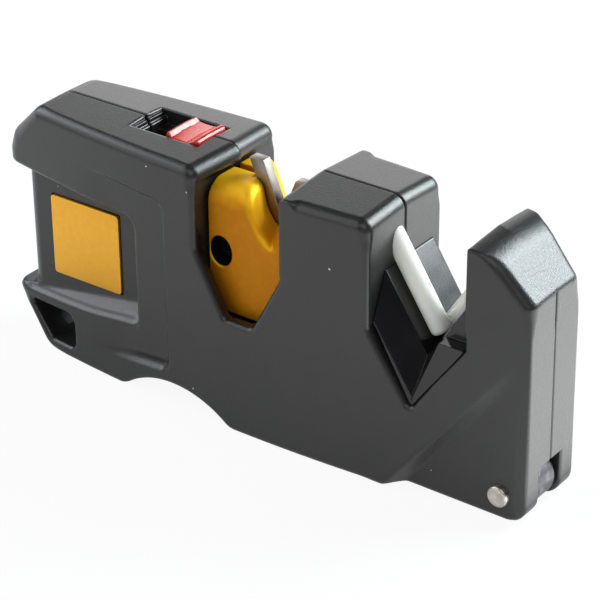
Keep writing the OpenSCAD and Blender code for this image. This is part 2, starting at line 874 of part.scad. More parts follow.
// Bowed leaf that presses on the underside of the slider
module lock_spring() {
    leaf_l = slider_l - 2 * leaf_inset;
    leaf_x = slider_left + slider_l / 2;
    base_z = slider_pocket_z + seat_gap;
    steps = 12;
    rise = leaf_h - leaf_t;
    under = [
        for (i = [0:steps])
            [leaf_x + leaf_l * (i / steps - 0.5), base_z + rise * sin(180 * i / steps)]
    ];
    over = [for (i = [steps:-1:0]) under[i] + [0, leaf_t]];
    color([0.7, 0.7, 0.72])
        slab(concat(under, over), -slider_w / 4, slider_w / 4);
}

module hinge_pin() {
    reach = ear_t / 2 + pin_proud;
    color([0.66, 0.66, 0.68])
        bar_y(pin_x, pin_z, -reach, reach, pin_d);
}

module friction_washers() {
    color([0.75, 0.6, 0.35])
        both_sides()
            difference() {
                bar_y(pin_x, pin_z, washer_y, washer_y + washer_t, washer_d);
                bar_y(pin_x, pin_z, 0, half_t, pin_d + 2 * run_gap);
            }
}

module lock_button() {
    dish = 0.9;
    ridge = 1.6;
    low = [-button_right - button_l, -button_w / 2, button_z];
    high = [-button_right, button_w / 2, body_h + button_proud];
    color([0.8, 0.06, 0.05])
        difference() {
            block(low, high);
            block([low.x + ridge, low.y - past, high.z - dish],
                  [high.x - ridge, high.y + past, high.z + past]);
            translate([post_x, 0, button_z - past])
                cylinder(h = past + lock_bite + seat_gap, d = small_screw_d + 2 * seat_gap);
        }
}

module lock_slider() {
    color([0.2, 0.2, 0.21])
        difference() {
            union() {
                block([slider_left, -slider_w / 2, slider_z], [slider_right, slider_w / 2, slider_top_z]);
                block([post_x - post_l / 2, -post_w / 2, slider_z],
                      [post_x + post_l / 2, post_w / 2, button_z - seat_gap]);
                bar_x(slider_right - past, -notch_half - slide_gap, 0, bolt_z, bolt_d);
            }
            translate([post_x, 0, slider_z - past])
                cylinder(h = body_h, d = small_screw_d + 2 * seat_gap);
            translate([post_x, 0, slider_z - past])
                cylinder(h = past + small_head_h, d = lock_head_d + 2 * seat_gap);
        }
}

module lock_screw() {
    color([0.6, 0.6, 0.62])
        translate([post_x, 0, slider_z]) {
            cylinder(h = button_z + lock_bite - slider_z, d = small_screw_d);
            cylinder(h = small_head_h - seat_gap, d = lock_head_d);
        }
}

module rod_knuckle() {
    color([0.55, 0.55, 0.56])
        difference() {
            union() {
                bar_y(pin_x, pin_z, -knuckle_w / 2, knuckle_w / 2, knuckle_d);
                bar_x(pin_x - neck_l, pin_x - washer_d / 2 - slide_gap, 0, pin_z, neck_d);
            }
            bar_y(pin_x, pin_z, -half_t, half_t, knuckle_bore + 2 * seat_gap);
            bar_x(pin_x - neck_l - past, pin_x - knuckle_d / 2, 0, pin_z, rod_d + 2 * seat_gap);
        }
}

module knuckle_bush() {
    color([0.72, 0.55, 0.3])
        difference() {
            bar_y(pin_x, pin_z, -knuckle_w / 2, knuckle_w / 2, knuckle_bore);
            bar_y(pin_x, pin_z, -half_t, half_t, pin_d + 2 * run_gap);
        }
}

// Straight in the neck, then tapered to a round tip
module diamond_rod() {
    root_x = pin_x - knuckle_d / 2 - seat_gap;
    taper_x = pin_x - neck_l;
    color([0.5, 0.5, 0.5])
        translate([root_x, 0, pin_z])
            rotate([0, -90, 0]) {
                cylinder(h = root_x - taper_x, d = rod_d);
                translate([0, 0, root_x - taper_x])
                    cylinder(h = taper_x - rod_tip_x - rod_tip_d / 2, d1 = rod_d, d2 = rod_tip_d);
                translate([0, 0, root_x - rod_tip_x - rod_tip_d / 2])
                    sphere(d = rod_tip_d);
            }
}

front_shell();
rear_shell();
badge_plate();
case_screws();
case_inserts();
ceramic_holder();
ceramic_left();
ceramic_right();
axle_bushes();
centring_springs();
lock_spring();
hinge_pin();
friction_washers();
carrier_front();
carrier_rear();
carbide_left();
carbide_right();
carrier_axle();
carrier_screws();
carrier_nuts();
lock_button();
lock_slider();
lock_screw();
rod_knuckle();
knuckle_bush();
diamond_rod();
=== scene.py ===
import math

import bmesh
import bpy
import numpy as np
from mathutils import Matrix, Vector


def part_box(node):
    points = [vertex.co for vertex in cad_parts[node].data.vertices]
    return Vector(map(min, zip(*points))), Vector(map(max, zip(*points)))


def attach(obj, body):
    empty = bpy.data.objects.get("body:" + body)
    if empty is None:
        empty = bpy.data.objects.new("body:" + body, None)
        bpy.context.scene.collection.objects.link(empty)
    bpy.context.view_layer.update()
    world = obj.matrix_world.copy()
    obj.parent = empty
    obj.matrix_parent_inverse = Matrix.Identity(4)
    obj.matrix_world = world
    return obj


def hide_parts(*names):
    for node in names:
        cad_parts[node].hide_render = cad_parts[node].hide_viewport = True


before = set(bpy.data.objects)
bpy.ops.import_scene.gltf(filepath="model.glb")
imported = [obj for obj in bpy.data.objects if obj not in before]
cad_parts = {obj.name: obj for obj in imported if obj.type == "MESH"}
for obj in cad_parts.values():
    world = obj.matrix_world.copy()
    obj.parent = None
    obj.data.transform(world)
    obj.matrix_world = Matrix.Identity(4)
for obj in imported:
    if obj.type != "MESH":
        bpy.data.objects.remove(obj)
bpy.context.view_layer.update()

# Lengths in the modelling code are millimetres in the part's own frame: X runs along the
# length towards the hinge, -Y is the front face and Z is up from the base.
MM = 0.001


def span(node):
    """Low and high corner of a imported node, in millimetres."""
    low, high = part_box(node)
    return np.array(low) / MM, np.array(high) / MM


def clusters(node, gap=4.0):
    """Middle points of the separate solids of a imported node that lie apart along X."""
    points = np.array([vertex.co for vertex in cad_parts[node].data.vertices]) / MM
    points = points[np.argsort(points[:, 0])]
    cuts = np.nonzero(np.diff(points[:, 0]) > gap)[0] + 1
    return [(part.min(0) + part.max(0)) / 2 for part in np.split(points, cuts)]


SHELL_LOW, SHELL_HIGH = span("front_shell")
CARRIER_LOW, CARRIER_HIGH = span("carrier_front")
HOLDER_LOW, HOLDER_HIGH = span("ceramic_holder")
BADGE_LOW, BADGE_HIGH = span("badge_plate")
BUTTON_LOW, BUTTON_HIGH = span("lock_button")
SLIDER_LOW = span("lock_slider")[0]
KNUCKLE_LOW, KNUCKLE_HIGH = span("rod_knuckle")
PIN_LOW, PIN_HIGH = span("hinge_pin")
ROD_LOW, ROD_HIGH = span("diamond_rod")
AXLE_LOW, AXLE_HIGH = span("carrier_axle")
CARRIER_T = -CARRIER_LOW[1]
SCREWS, CLAMPS = clusters("case_screws"), clusters("carrier_screws")

# Casing
LEFT, RIGHT, TOP = SHELL_LOW[0], SHELL_HIGH[0], SHELL_HIGH[2]
HALF_T = -SHELL_LOW[1]
END_HALF = 7.6
BOW_R = (RIGHT ** 2 + (HALF_T - END_HALF) ** 2) / (2 * (HALF_T - END_HALF))
TOP_FALL = 0.8
ABOVE = TOP + 12
EDGE_R = 1.1
CRISP_R = 0.45
NOSE_R = 3.2
TOP_R, WIDE_R = 1.1, 2.5
HORN_R, HORN_EDGE_R = 8.2, 1.9
SEAM, SEAM_THIN, SEAM_CLOSED = 0.13, 0.03, -0.3
SEAM_R = 0.28
SLIDE_GAP = 0.3
CUT_R = 0.3
CUT_PAST = 5

# Thumb recess and the shallow step round it
WAIST_X = LEFT + 4
WAIST_HALF = 7.0
GRIP_RIGHT = LEFT + 33.9
LIP_Z = (37.8, 36.3)
LEDGE_Z = (11.5, 17.0)
LEDGE_SLOPE = math.tan(math.radians(35))
LIP_R = 0.8
STEP_RIGHT = LEFT + 41.7
STEP_TOP = (44.9, 42.3)
STEP_LOW = (3.2, 7.4)
STEP_DEPTH = 0.4
STEP_LIP = 0.8
STEP_SOFT, SCOOP_SOFT = 0.3, 0.5
STEP_TOP_R, STEP_LOW_R = 2.4, 2.6
BAND_R, LEDGE_R, WAIST_R, CORE_R = 2.4, 0.5, 3.0, 0.6
GROOVE_DEPTH, GROOVE_WIDTH, GROOVE_IN = 0.34, 0.4, 0.8

# Lower edge
ARCH_X, ARCH_W, ARCH_H = LEFT + 42.9, 26.0, 4.8
ARCH_R = (ARCH_W ** 2 / 4 + ARCH_H ** 2) / (2 * ARCH_H)
LOOP_LEFT, LOOP_RIGHT = LEFT + 4.0, LEFT + 16.6
LOOP_BAR, LOOP_TOP = 2.4, 9.8
LOOP_R, ARCH_EDGE_R = 1.1, 0.9

# Carbide notch
NOTCH_HALF = CARRIER_HIGH[0] + SLIDE_GAP
DRAFT_FRONT, DRAFT_REAR = 1.7, 1.1
SHOULDER_Z, NOTCH_Z, NOTCH_FLOOR = 35.0, 23.0, 6.0
CHAMBER_Y, CHAMBER_Z = 10.3, 18.8
AXLE_Z = (AXLE_LOW[2] + AXLE_HIGH[2]) / 2
LOBE_R, LOBE_TOP_R = 1.6, 4.0
BAR_LOW, BAR_HIGH, BAR_Y, BAR_FLOOR = -3.6, 7.6, 2.3, 36.5
CLAMP_HOLE, CLAMP_HOLE_Y = (2.5, 3.0), 4.9
LIP_RISE = (47.3, 48.8)
WALL_FRONT, WALL_REAR, WALL_Z = (-0.74, 0.24), (-2.0, -0.65), 44.2
WALL_LEAN_FRONT, WALL_LEAN_REAR = 0.22, 0.4
FOOT_IN, FOOT_LEAN, FOOT_Z, FOOT_R = 0.64, 1.1, 41.3, 1.2
FAR_WALL, FAR_FLARE, FAR_LEAN, FAR_Z = 2.0, 0.5, 0.38, 38.4
SLOT_FLOOR, SLOT_FALL, SLOT_R, SLOT_FLOOR_R = 34.5, 0.6, 0.6, 0.8
WALL_COS, FOOT_COS, FAR_COS, FLOOR_COS = 0.95, 0.67, 0.85, 0.86
LOBE_SIDE_R, LOBE_LOW_R, LOBE_OUT, LOBE_PLAY = 0.5, 0.6, 0.1, 0.05
BORE_SKIN, BORE_REACH = 0.3, 1.1
LOBE_GAP, AXLE_BORE_R, HALF_GAP = 0.8, 1.52, 0.03

# Ceramic notch
HONE_X = (HOLDER_LOW[0] + HOLDER_HIGH[0]) / 2
HONE_HALF, HONE_SHOULDER, HONE_TIP = 9.15, 31.3, 17.1
HONE_SKEW = 0.9
ROD_SINK, ROD_END_R = 0.3, 1.0
HONE_TILT = math.radians(33)
SEAT_TIP, SEAT_HALF, FUNNEL_TIP = 26.3, 6.2, 18.9
HOLDER_HALF = HOLDER_HIGH[1]
MOUTH_TURN = math.radians(11)
SEAT_R, RIM_RISE, RIM_SHARP = 0.25, 0.5, 4
HOLDER_PLAY, HOLDER_SIDE, HOLDER_REAR = 0.1, 0.03, 1

# Hinge corner
PIN_X, PIN_Z = (PIN_LOW[0] + PIN_HIGH[0]) / 2, (PIN_LOW[2] + PIN_HIGH[2]) / 2
PIN_R = (PIN_HIGH[0] - PIN_LOW[0]) / 2
EAR_HALF = 8.0
CREASE = ((RIGHT - 1.1, 30.5), (RIGHT - 21.7, 2.8), (RIGHT - 24.05, 0.0))
CREASE_WIDTH, CREASE_BEND = 4.0, 6.0
SWELL, SWELL_PEAK, SWELL_END = 0.35, 2.2, 7
KNUCKLE_R = KNUCKLE_HIGH[2] - PIN_Z
KNUCKLE_HALF, SLOT_HALF = 2.9, 3.54
NECK_R, NECK_END, BUSH_BORE_R = 3.3, 3.6, 2.75
KNUCKLE_EDGE_R, NECK_EDGE_R, NECK_FILLET = 0.5, 0.7, 0.4
CHANNEL_HALF, ROD_SLOT_R = 3.6, 0.35

# Lock
TRAVEL = 6.5
POST_X = BUTTON_LOW[0] + 1.7
PLATE_T, PLATE_HALF, PLATE_BELOW, PLATE_REACH = 2.0, 3.6, 1.9, 4.2
POST_HALF_X, POST_HALF_Y, BOLT_R = 2.0, 2.3, 1.2
PIT_OPEN = 20
PIT_STAIRS = ((1.5, 0.5), (2.5, 1.0))
RIDGE_RISE, RIDGE_IN, RIDGE_SHARP = 0.2, (0.6, 0.8), (0.12, 0.15)
DISH_DEPTH, DISH_CURVE, RIB, RIB_IN, RIB_WIDTH = 0.85, 0.02, 0.09, 1.75, 0.16
RIDGE_SLOPE, BUTTON_CROWN, BUTTON_COS = (0.5, 0.6), 0.006, 0.8
BUTTON_R, BUTTON_EDGE_R = 0.7, 0.4

# Closing screws and badge
SCREW_HOLLOW_R, SCREW_SEAT_Y = 2.8, 5.0
BADGE_PLAY = 0.12


# Distance fields
ARC_STEPS = 3  # per millimetre of radius


def round_max(a, b, r):
    """Part common to two fields, with the edge between them rounded by r."""
    return np.minimum(np.maximum(a, b), -r) + np.hypot(np.maximum(a + r, 0), np.maximum(b + r, 0))


def round_min(a, b, r):
    """Both fields joined, with the inner corner between them filled by r."""
    return -round_max(-a, -b, r)


def ramp(value, start, end):
    """Smooth 0 to 1 between start and end."""
    t = np.clip((value - start) / (end - start), 0, 1)
    return t * t * (3 - 2 * t)


def between(x, ends, left=LEFT, right=GRIP_RIGHT):
    """Straight line over X through the two end values."""
    return ends[0] + (ends[1] - ends[0]) * (x - left) / (right - left)


def block(x, y, z, low, high):
    """Field of a plain box."""
    field = np.maximum(low[0] - x, x - high[0])
    field = np.maximum(field, np.maximum(low[1] - y, y - high[1]))
    return np.maximum(field, np.maximum(low[2] - z, z - high[2]))


def rounded(corners):
    """Closed outline from (x, z, radius) corners, with finer steps on wide arcs."""
    points = []
    for index, (x, z, r) in enumerate(corners):
        here = Vector((x, z))
        back = (Vector(corners[index - 1][:2]) - here).normalized()
        ahead = (Vector(corners[(index + 1) % len(corners)][:2]) - here).normalized()
        if r == 0:
            points.append(here)
            continue
        half = back.angle(ahead) / 2
        centre = here + (back + ahead).normalized() * (r / math.sin(half))
        start = here + back * (r / math.tan(half)) - centre
        end = here + ahead * (r / math.tan(half)) - centre
        turn = start.angle_signed(end)
        steps = max(4, round(ARC_STEPS * r))
        for step in range(steps + 1):
            angle = -turn * step / steps
            spin = Matrix.Rotation(angle, 2)
            points.append(centre + spin @ start)
    return np.array(points)


def outline_distance(points, x, z):
    """Signed distance to a closed outline in X and Z, negative inside."""
    x, z = np.broadcast_arrays(x, z)
    nearest = np.full(x.shape, np.inf)
    inside = np.zeros(x.shape, bool)
    for (ax, az), (bx, bz) in zip(points, np.roll(points, -1, 0)):
        ex, ez = bx - ax, bz - az
        wx, wz = x - ax, z - az
        t = np.clip((wx * ex + wz * ez) / (ex * ex + ez * ez), 0, 1)
        nearest = np.minimum(nearest, (wx - ex * t) ** 2 + (wz - ez * t) ** 2)
        if ez != 0:
            inside ^= ((az > z) != (bz > z)) & (wx < wz * ex / ez)
    return np.where(inside, -1.0, 1.0) * np.sqrt(nearest)


HEAD_SLOPE = 8.3 / 7.7
CASE_OUTLINE = rounded([
    (LEFT + 8.4, 0, 4.6),
    (RIGHT, 0, 4.2),
    (RIGHT - 0.5, 42.9, 1.6),
    (RIGHT - 8.3, TOP, HORN_R),
    (HONE_X + HONE_HALF, TOP, 0.4),
    (HONE_X + HONE_HALF, HONE_SHOULDER + 0.6, 1.0),
    (HONE_X - HONE_SKEW, HONE_TIP, 0.8),
    (HONE_X - HONE_HALF, HONE_SHOULDER - 0.8, 1.0),
    (HONE_X - HONE_HALF, ABOVE, 0),
    (NOTCH_HALF, ABOVE, 0),
    (NOTCH_HALF, SHOULDER_Z, 1.5),
    (NOTCH_FLOOR / 2, NOTCH_Z, 1.2),
    (-NOTCH_FLOOR / 2, NOTCH_Z, 1.2),
    (-NOTCH_HALF, SHOULDER_Z, 1.5),
    (-NOTCH_HALF, ABOVE, 0),
    (LEFT + 9.5 + (ABOVE - TOP) * HEAD_SLOPE, ABOVE, 0),
    (LEFT + 1.2, 43.9, 3.0),
    (LEFT, 40.6, 2.0),
    (LEFT, 10.5, 1.8),
    (LEFT + 2.0, 7.1, 2.6),
])
LOOP_OUTLINE = rounded([
    (LOOP_LEFT + 6.0, LOOP_BAR, 1.4),
    (LOOP_RIGHT, LOOP_BAR, 1.6),
    (LOOP_RIGHT, LOOP_TOP, 2.0),
    (LOOP_LEFT, LOOP_TOP - 0.6, 0.9),
])


def crease_side(x, z):
    """Distance above and left of the crease that sets off the hinge corner."""
    (ax, az), (bx, bz), (cx, cz) = CREASE
    long = Vector((bx - ax, bz - az)).normalized()
    short = Vector((cx - bx, cz - bz)).normalized()
    upper = (x - bx) * long.y - (z - bz) * long.x
    lower = (x - bx) * short.y - (z - bz) * short.x
    return round_min(upper, lower, CREASE_BEND)


def step_field(x, z):
    """Field of the shallow step round the grip."""
    field = round_max(z - between(x, STEP_TOP, right=STEP_RIGHT), x - STEP_RIGHT, STEP_TOP_R)
    return round_max(field, between(x, STEP_LOW, right=STEP_RIGHT) - z, STEP_LOW_R)


def half_thickness(x, z):
    """Half of the casing's thickness: bowed along X, stepped round the grip and at the hinge."""
    bow = HALF_T - x ** 2 / (2 * BOW_R)
    ear = np.minimum(EAR_HALF, bow)
    side = crease_side(x, z)
    above = ramp(side, -CREASE_WIDTH / 2, CREASE_WIDTH / 2)
    swell = SWELL * ramp(side, 0, SWELL_PEAK) * ramp(side, SWELL_END, SWELL_PEAK)
    half = ear + (bow + swell * ramp(x, RIGHT, RIGHT - 14) - ear) * above
    low_edge = z - between(x, STEP_LOW, right=STEP_RIGHT)
    inside = ramp(step_field(x, z) / (STEP_SOFT + SCOOP_SOFT * ramp(low_edge, 4, 1)), 1, -1)
    lip = STEP_LIP * ramp(low_edge, 3.2, 0.2) * ramp(x, LEFT + 22, LEFT + 36)
    return half - inside * (STEP_DEPTH * ramp(x, LEFT + 20, LEFT + 31) + lip)


def grip(x, ay, z):
    """Field of what stays of the casing beside the thumb recess: outside its band, or its core."""
    inner = between(x, LEDGE_Z)
    ledge = inner - LEDGE_SLOPE * np.maximum(ay - WAIST_HALF, 0) - z
    band = round_max(z - between(x, LIP_Z), x - GRIP_RIGHT, BAND_R)
    band = round_max(band, ledge * math.cos(math.atan(LEDGE_SLOPE)), LEDGE_R)
    core = round_max(WAIST_X - x, ay - WAIST_HALF, WAIST_R)
    return round_min(-band, core, CORE_R)


def pit(x, ay, z):
    """Field of the button's pit, with a stepped wall at its left end."""
    low = BUTTON_LOW - [TRAVEL + SLIDE_GAP, SLIDE_GAP, SLIDE_GAP]
    high = BUTTON_HIGH + [SLIDE_GAP, SLIDE_GAP, PIT_OPEN]
    field = block(x, ay, z, (low[0], -1, low[2]), high)
    for rise, reach in PIT_STAIRS:
        field = np.minimum(field, block(x, ay, z, (low[0] - reach, -1, low[2] + rise), high))
    return field


def lock_cuts(x, ay, z):
    """Field of the slots of the button's post, the slider's plate and the bolt."""
    left = SLIDER_LOW[0] - TRAVEL - SLIDE_GAP
    plate_top = SLIDER_LOW[2] + PLATE_T + SLIDE_GAP
    plate_high = (BUTTON_LOW[0] + PLATE_REACH, PLATE_HALF, plate_top)
    plate = (left, -1, SLIDER_LOW[2] - PLATE_BELOW), plate_high
    post_low = (POST_X - POST_HALF_X - TRAVEL, -1, SLIDER_LOW[2])
    post = post_low, (POST_X + POST_HALF_X, POST_HALF_Y, TOP)
    bolt = np.hypot(ay, z - SLIDER_LOW[2] - PLATE_T / 2) - BOLT_R
    bolt = np.maximum(bolt, np.maximum(BUTTON_LOW[0] - x, x))
    return np.minimum(np.minimum(block(x, ay, z, *plate), block(x, ay, z, *post)), bolt)


def rod_cuts(x, ay, z):
    """Field of the knuckle's slot and of the channel for the folded rod."""
    slot_low = (PIN_X - KNUCKLE_R - SLIDE_GAP, -1, -CUT_PAST)
    slot = slot_low, (RIGHT + CUT_PAST, SLOT_HALF, PIN_Z + KNUCKLE_R + SLIDE_GAP)
    channel_low = (ROD_LOW[0] - SLIDE_GAP, -1, -CUT_PAST)
    channel = channel_low, (PIN_X, CHANNEL_HALF, PIN_Z + CHANNEL_HALF)
    return np.minimum(block(x, ay, z, *slot), block(x, ay, z, *channel))


def edge_radius(x, z):
    """Rounding round the two faces: wide at nose, horn and tops, crisp at the end and far walls."""
    near_walls = [ramp(np.abs(x - NOTCH_HALF), 4, 2), ramp(np.abs(x - HONE_X - HONE_HALF), 4, 2)]
    crisp = np.maximum(*near_walls) * ramp(z, HONE_SHOULDER + 2, HONE_SHOULDER + 5)
    horn = ramp(x, HONE_X + HONE_HALF + 2, HONE_X + HONE_HALF + 6) * ramp(z, 38, 43)
    end = ramp(x, RIGHT - 3, RIGHT - 1) * ramp(z, 40, 36)
    roll = ramp(x, HONE_X, HONE_X - 4) * ramp(z, 45, 48) * (1 - crisp)
    nose = ramp(x, LEFT + 14, LEFT + 2)
    return (EDGE_R + (NOSE_R - EDGE_R) * nose + (CRISP_R - EDGE_R) * np.maximum(crisp, end)
            + (HORN_EDGE_R - EDGE_R) * np.maximum(horn, roll * (1 - nose)))


def top_radius(x):
    """Rounding of the top edges: wide at the right ends of the two blocks."""
    ends = [ramp(np.abs(x + NOTCH_HALF), 6, 3), ramp(np.abs(x - HONE_X + HONE_HALF), 6, 3)]
    return TOP_R + (WIDE_R - TOP_R) * np.maximum(*ends)


def roof(x, ay, z):
    """Field below the flat tops; the horn at the right end has its own outline."""
    return z - TOP + TOP_FALL * ay / HALF_T - 4 * ramp(x, HONE_X, HONE_X + 4)


def ledge_line(x, ay, z, half):
    """Depth of the fine groove along the outer edge of the thumb recess's ledge."""
    rise = between(x, LEDGE_Z) - LEDGE_SLOPE * (ay - WAIST_HALF)
    away = np.hypot(ay - half + GROOVE_IN, z - rise)
    groove = GROOVE_DEPTH * np.exp(-(away / GROOVE_WIDTH) ** 2)
    return groove * ramp(x, LEFT + 3, LEFT + 5) * ramp(x, GRIP_RIGHT - 0.6, GRIP_RIGHT - 2)


def casing(x, y, z):
    """Field of both halves of the casing together."""
    ay = np.abs(y)
    half = half_thickness(x, z)
    fall = TOP_FALL * ay / HALF_T * ramp(x, HONE_X, HONE_X + 4) * ramp(z, 36, 46)
    lip = -draft(y) * ramp(x, 0, -4) * ramp(x, -20, -10) * ramp(z, *LIP_RISE)
    walls = outline_distance(CASE_OUTLINE, x + lip, z + fall)
    body = round_max(walls, roof(x, ay, z), top_radius(x))
    body = round_max(body, ay - half, edge_radius(x, z))
    body = round_max(body, grip(x, ay, z), LIP_R)
    body = body + ledge_line(x, ay, z, half)
    body = round_max(body, -outline_distance(LOOP_OUTLINE, x, z), LOOP_R)
    body = round_max(body, ARCH_R - np.hypot(x - ARCH_X, z - ARCH_H + ARCH_R), ARCH_EDGE_R)
    chamber = (-NOTCH_HALF, -1, CHAMBER_Z), (NOTCH_HALF, CHAMBER_Y, SHOULDER_Z + 2)
    body = np.maximum(body, -block(x, ay, z, *chamber))
    body = round_max(body, -pit(x, ay, z), CUT_R)
    body = np.maximum(body, -lock_cuts(x, ay, z))
    return round_max(body, -rod_cuts(x, ay, z), ROD_SLOT_R)


def seam(x, z):
    """Half width of the parting line, thin at the right end and closed on the horn's slope."""
    right = ramp(x, HONE_X, HONE_X + HONE_HALF)
    return SEAM + (SEAM_THIN - SEAM) * right + (SEAM_CLOSED - SEAM_THIN) * right * ramp(z, 42.4, 43.2)


def front_shell(x, y, z):
    """Front half, with the pocket of the badge."""
    body = round_max(casing(x, y, z), y + seam(x, z), SEAM_R)
    low, high = BADGE_LOW - [BADGE_PLAY, 1, BADGE_PLAY], BADGE_HIGH + [BADGE_PLAY, 0, BADGE_PLAY]
    return np.maximum(body, -block(x, y, z, low, high))


def rear_shell(x, y, z):
    """Rear half, closed outside, with hollows round the shanks of the closing screws."""
    body = round_max(casing(x, y, z), seam(x, z) - y, SEAM_R)
    for centre in SCREWS:
        hollow = np.hypot(x - centre[0], z - centre[2]) - SCREW_HOLLOW_R
        body = round_max(body, np.minimum(SCREW_SEAT_Y - y, -hollow), CUT_R)
    return body


def draft(y):
    """How far the upper edge of the carbide notch stands in, most at the parting plane."""
    return np.where(y < 0, DRAFT_FRONT, DRAFT_REAR) * np.clip(1 - np.abs(y) / HALF_T, 0, 1)


def blade_slot(x, y, z):
    """Field of the slot for the blade, which leans to the left and widens to the rear."""
    deep = np.abs(y) - BAR_Y
    wall = np.where(y < 0, WALL_FRONT[0] + WALL_FRONT[1] * deep, WALL_REAR[0] + WALL_REAR[1] * deep)
    left = (wall + np.where(y < 0, WALL_LEAN_FRONT, WALL_LEAN_REAR) * (WALL_Z - z) - x) * WALL_COS
    foot = (wall + FOOT_IN + FOOT_LEAN * (FOOT_Z - z) - x) * FOOT_COS
    left = np.where(y < 0, round_max(left, foot, FOOT_R), left)
    right = (x - FAR_WALL - FAR_FLARE * deep - FAR_LEAN * (z - FAR_Z)) * FAR_COS
    floor = (SLOT_FLOOR + SLOT_FALL * deep - z) * FLOOR_COS
    return round_max(round_max(left, right, SLOT_R), floor, SLOT_FLOOR_R)


def lobes(x, y, z):
    """Field of both gold halves of the carrier."""
    ax, ay = np.abs(x), np.abs(y)
    body = round_max(ay - CARRIER_T - LOBE_OUT, z - CARRIER_HIGH[2], LOBE_TOP_R)
    body = round_max(body, ax - CARRIER_HIGH[0] + LOBE_PLAY, LOBE_SIDE_R)
    body = round_max(body, CARRIER_LOW[2] - z, LOBE_LOW_R)
    body = round_max(body, -blade_slot(x, y, z), LOBE_R)
    bars = np.maximum(np.maximum(BAR_LOW - x, x - BAR_HIGH), np.maximum(ay - BAR_Y, BAR_FLOOR - z))
    gap = np.maximum(ay - LOBE_GAP, BAR_FLOOR - z)
    body = round_max(body, -np.minimum(bars, gap), CUT_R)
    body = np.maximum(body, AXLE_BORE_R - np.hypot(y, z - AXLE_Z))
    wide, high = CLAMP_HOLE
    hole = (np.hypot((x - CLAMPS[0][0]) / wide, (z - CLAMPS[0][2]) / high) - 1) * wide
    return round_max(body, -np.maximum(hole, CLAMP_HOLE_Y - ay), CUT_R)


def lobe_front(x, y, z):
    """Front gold half."""
    return np.maximum(lobes(x, y, z), y + HALF_GAP)


def lobe_rear(x, y, z):
    """Rear gold half."""
    return np.maximum(lobes(x, y, z), HALF_GAP - y)


def holder(x, y, z):
    """Field of the glossy insert: a wedge in the V with a seat for the rods and a flared mouth."""
    flare = np.maximum(-y - SEAT_HALF, 0) / (HOLDER_HALF - SEAT_HALF)
    dx = np.abs(x - HONE_X)
    lean = (HONE_SHOULDER - HONE_TIP) / HONE_HALF
    skewed = np.abs(x - HONE_X + HONE_SKEW * ramp(z, HONE_SHOULDER, HONE_TIP))
    sides = skewed * lean - z + HONE_TIP + HOLDER_PLAY
    body = np.maximum(sides / math.hypot(1, lean), dx - HONE_HALF + HOLDER_SIDE)
    body = np.maximum(body, np.maximum(-y - HOLDER_HALF, y - HOLDER_HALF + HOLDER_REAR))
    tip = SEAT_TIP - flare * (SEAT_TIP - FUNNEL_TIP)
    off = x - HONE_X + HONE_SKEW * flare
    tilt = HONE_TILT - MOUTH_TURN * flare * (off > 0)
    seat = np.abs(off) * np.cos(tilt) - (z - tip) * np.sin(tilt)
    front = np.minimum(RIM_SHARP * flare, 1) * (off > 0)
    body = np.maximum(body, z - HOLDER_HIGH[2] - front * (HONE_SHOULDER + RIM_RISE - HOLDER_HIGH[2]))
    return round_max(body, -seat, SEAT_R)


def button(x, y, z):
    """Field of the sliding button: a ridge at both ends and a shallow dish between them."""
    low, high = BUTTON_LOW, BUTTON_HIGH
    crest = high[2] + RIDGE_RISE
    left, right = low[0] + RIDGE_IN[0], high[0] - RIDGE_IN[1]
    blunt, blunter = RIDGE_SHARP
    inward = np.hypot(np.maximum(x - left, 0), blunt) - blunt
    first = crest - np.maximum(RIDGE_SLOPE[0] * (left - x), inward)
    second = crest + blunter - np.hypot(RIDGE_SLOPE[1] * (right - x), blunter)
    rib = RIB * np.exp(-((x - right + RIB_IN) / RIB_WIDTH) ** 2)
    dish = crest - DISH_DEPTH + DISH_CURVE * (x - (left + right) / 2) ** 2 + rib
    top = np.maximum(np.maximum(first, second), dish) - BUTTON_CROWN * y ** 2
    body = round_max(np.maximum(low[0] - x, x - high[0]), np.abs(y) - high[1], BUTTON_R)
    return np.maximum(round_max(body, (z - top) * BUTTON_COS, BUTTON_EDGE_R), low[2] - z)


def knuckle(x, y, z):
    """Field of the knuckle with the neck that takes the rod."""
    ay = np.abs(y)
    across = np.hypot(x - PIN_X, z - PIN_Z)
    body = round_max(across - KNUCKLE_R, ay - KNUCKLE_HALF, KNUCKLE_EDGE_R)
    neck = np.hypot(y, z - PIN_Z) - NECK_R
    neck = round_max(neck, np.maximum(KNUCKLE_LOW[0] - x, x - PIN_X + NECK_END), NECK_EDGE_R)
    return np.maximum(round_min(body, neck, NECK_FILLET), BUSH_BORE_R - across)


# Meshes
SHELL_STEP, FINE_STEP, BUTTON_STEP = 0.4, 0.18, 0.12
GRID_BEFORE, GRID_AFTER = 2.2, 3
SETTLE_TURNS, LEAST_STEEP = 3, 0.05


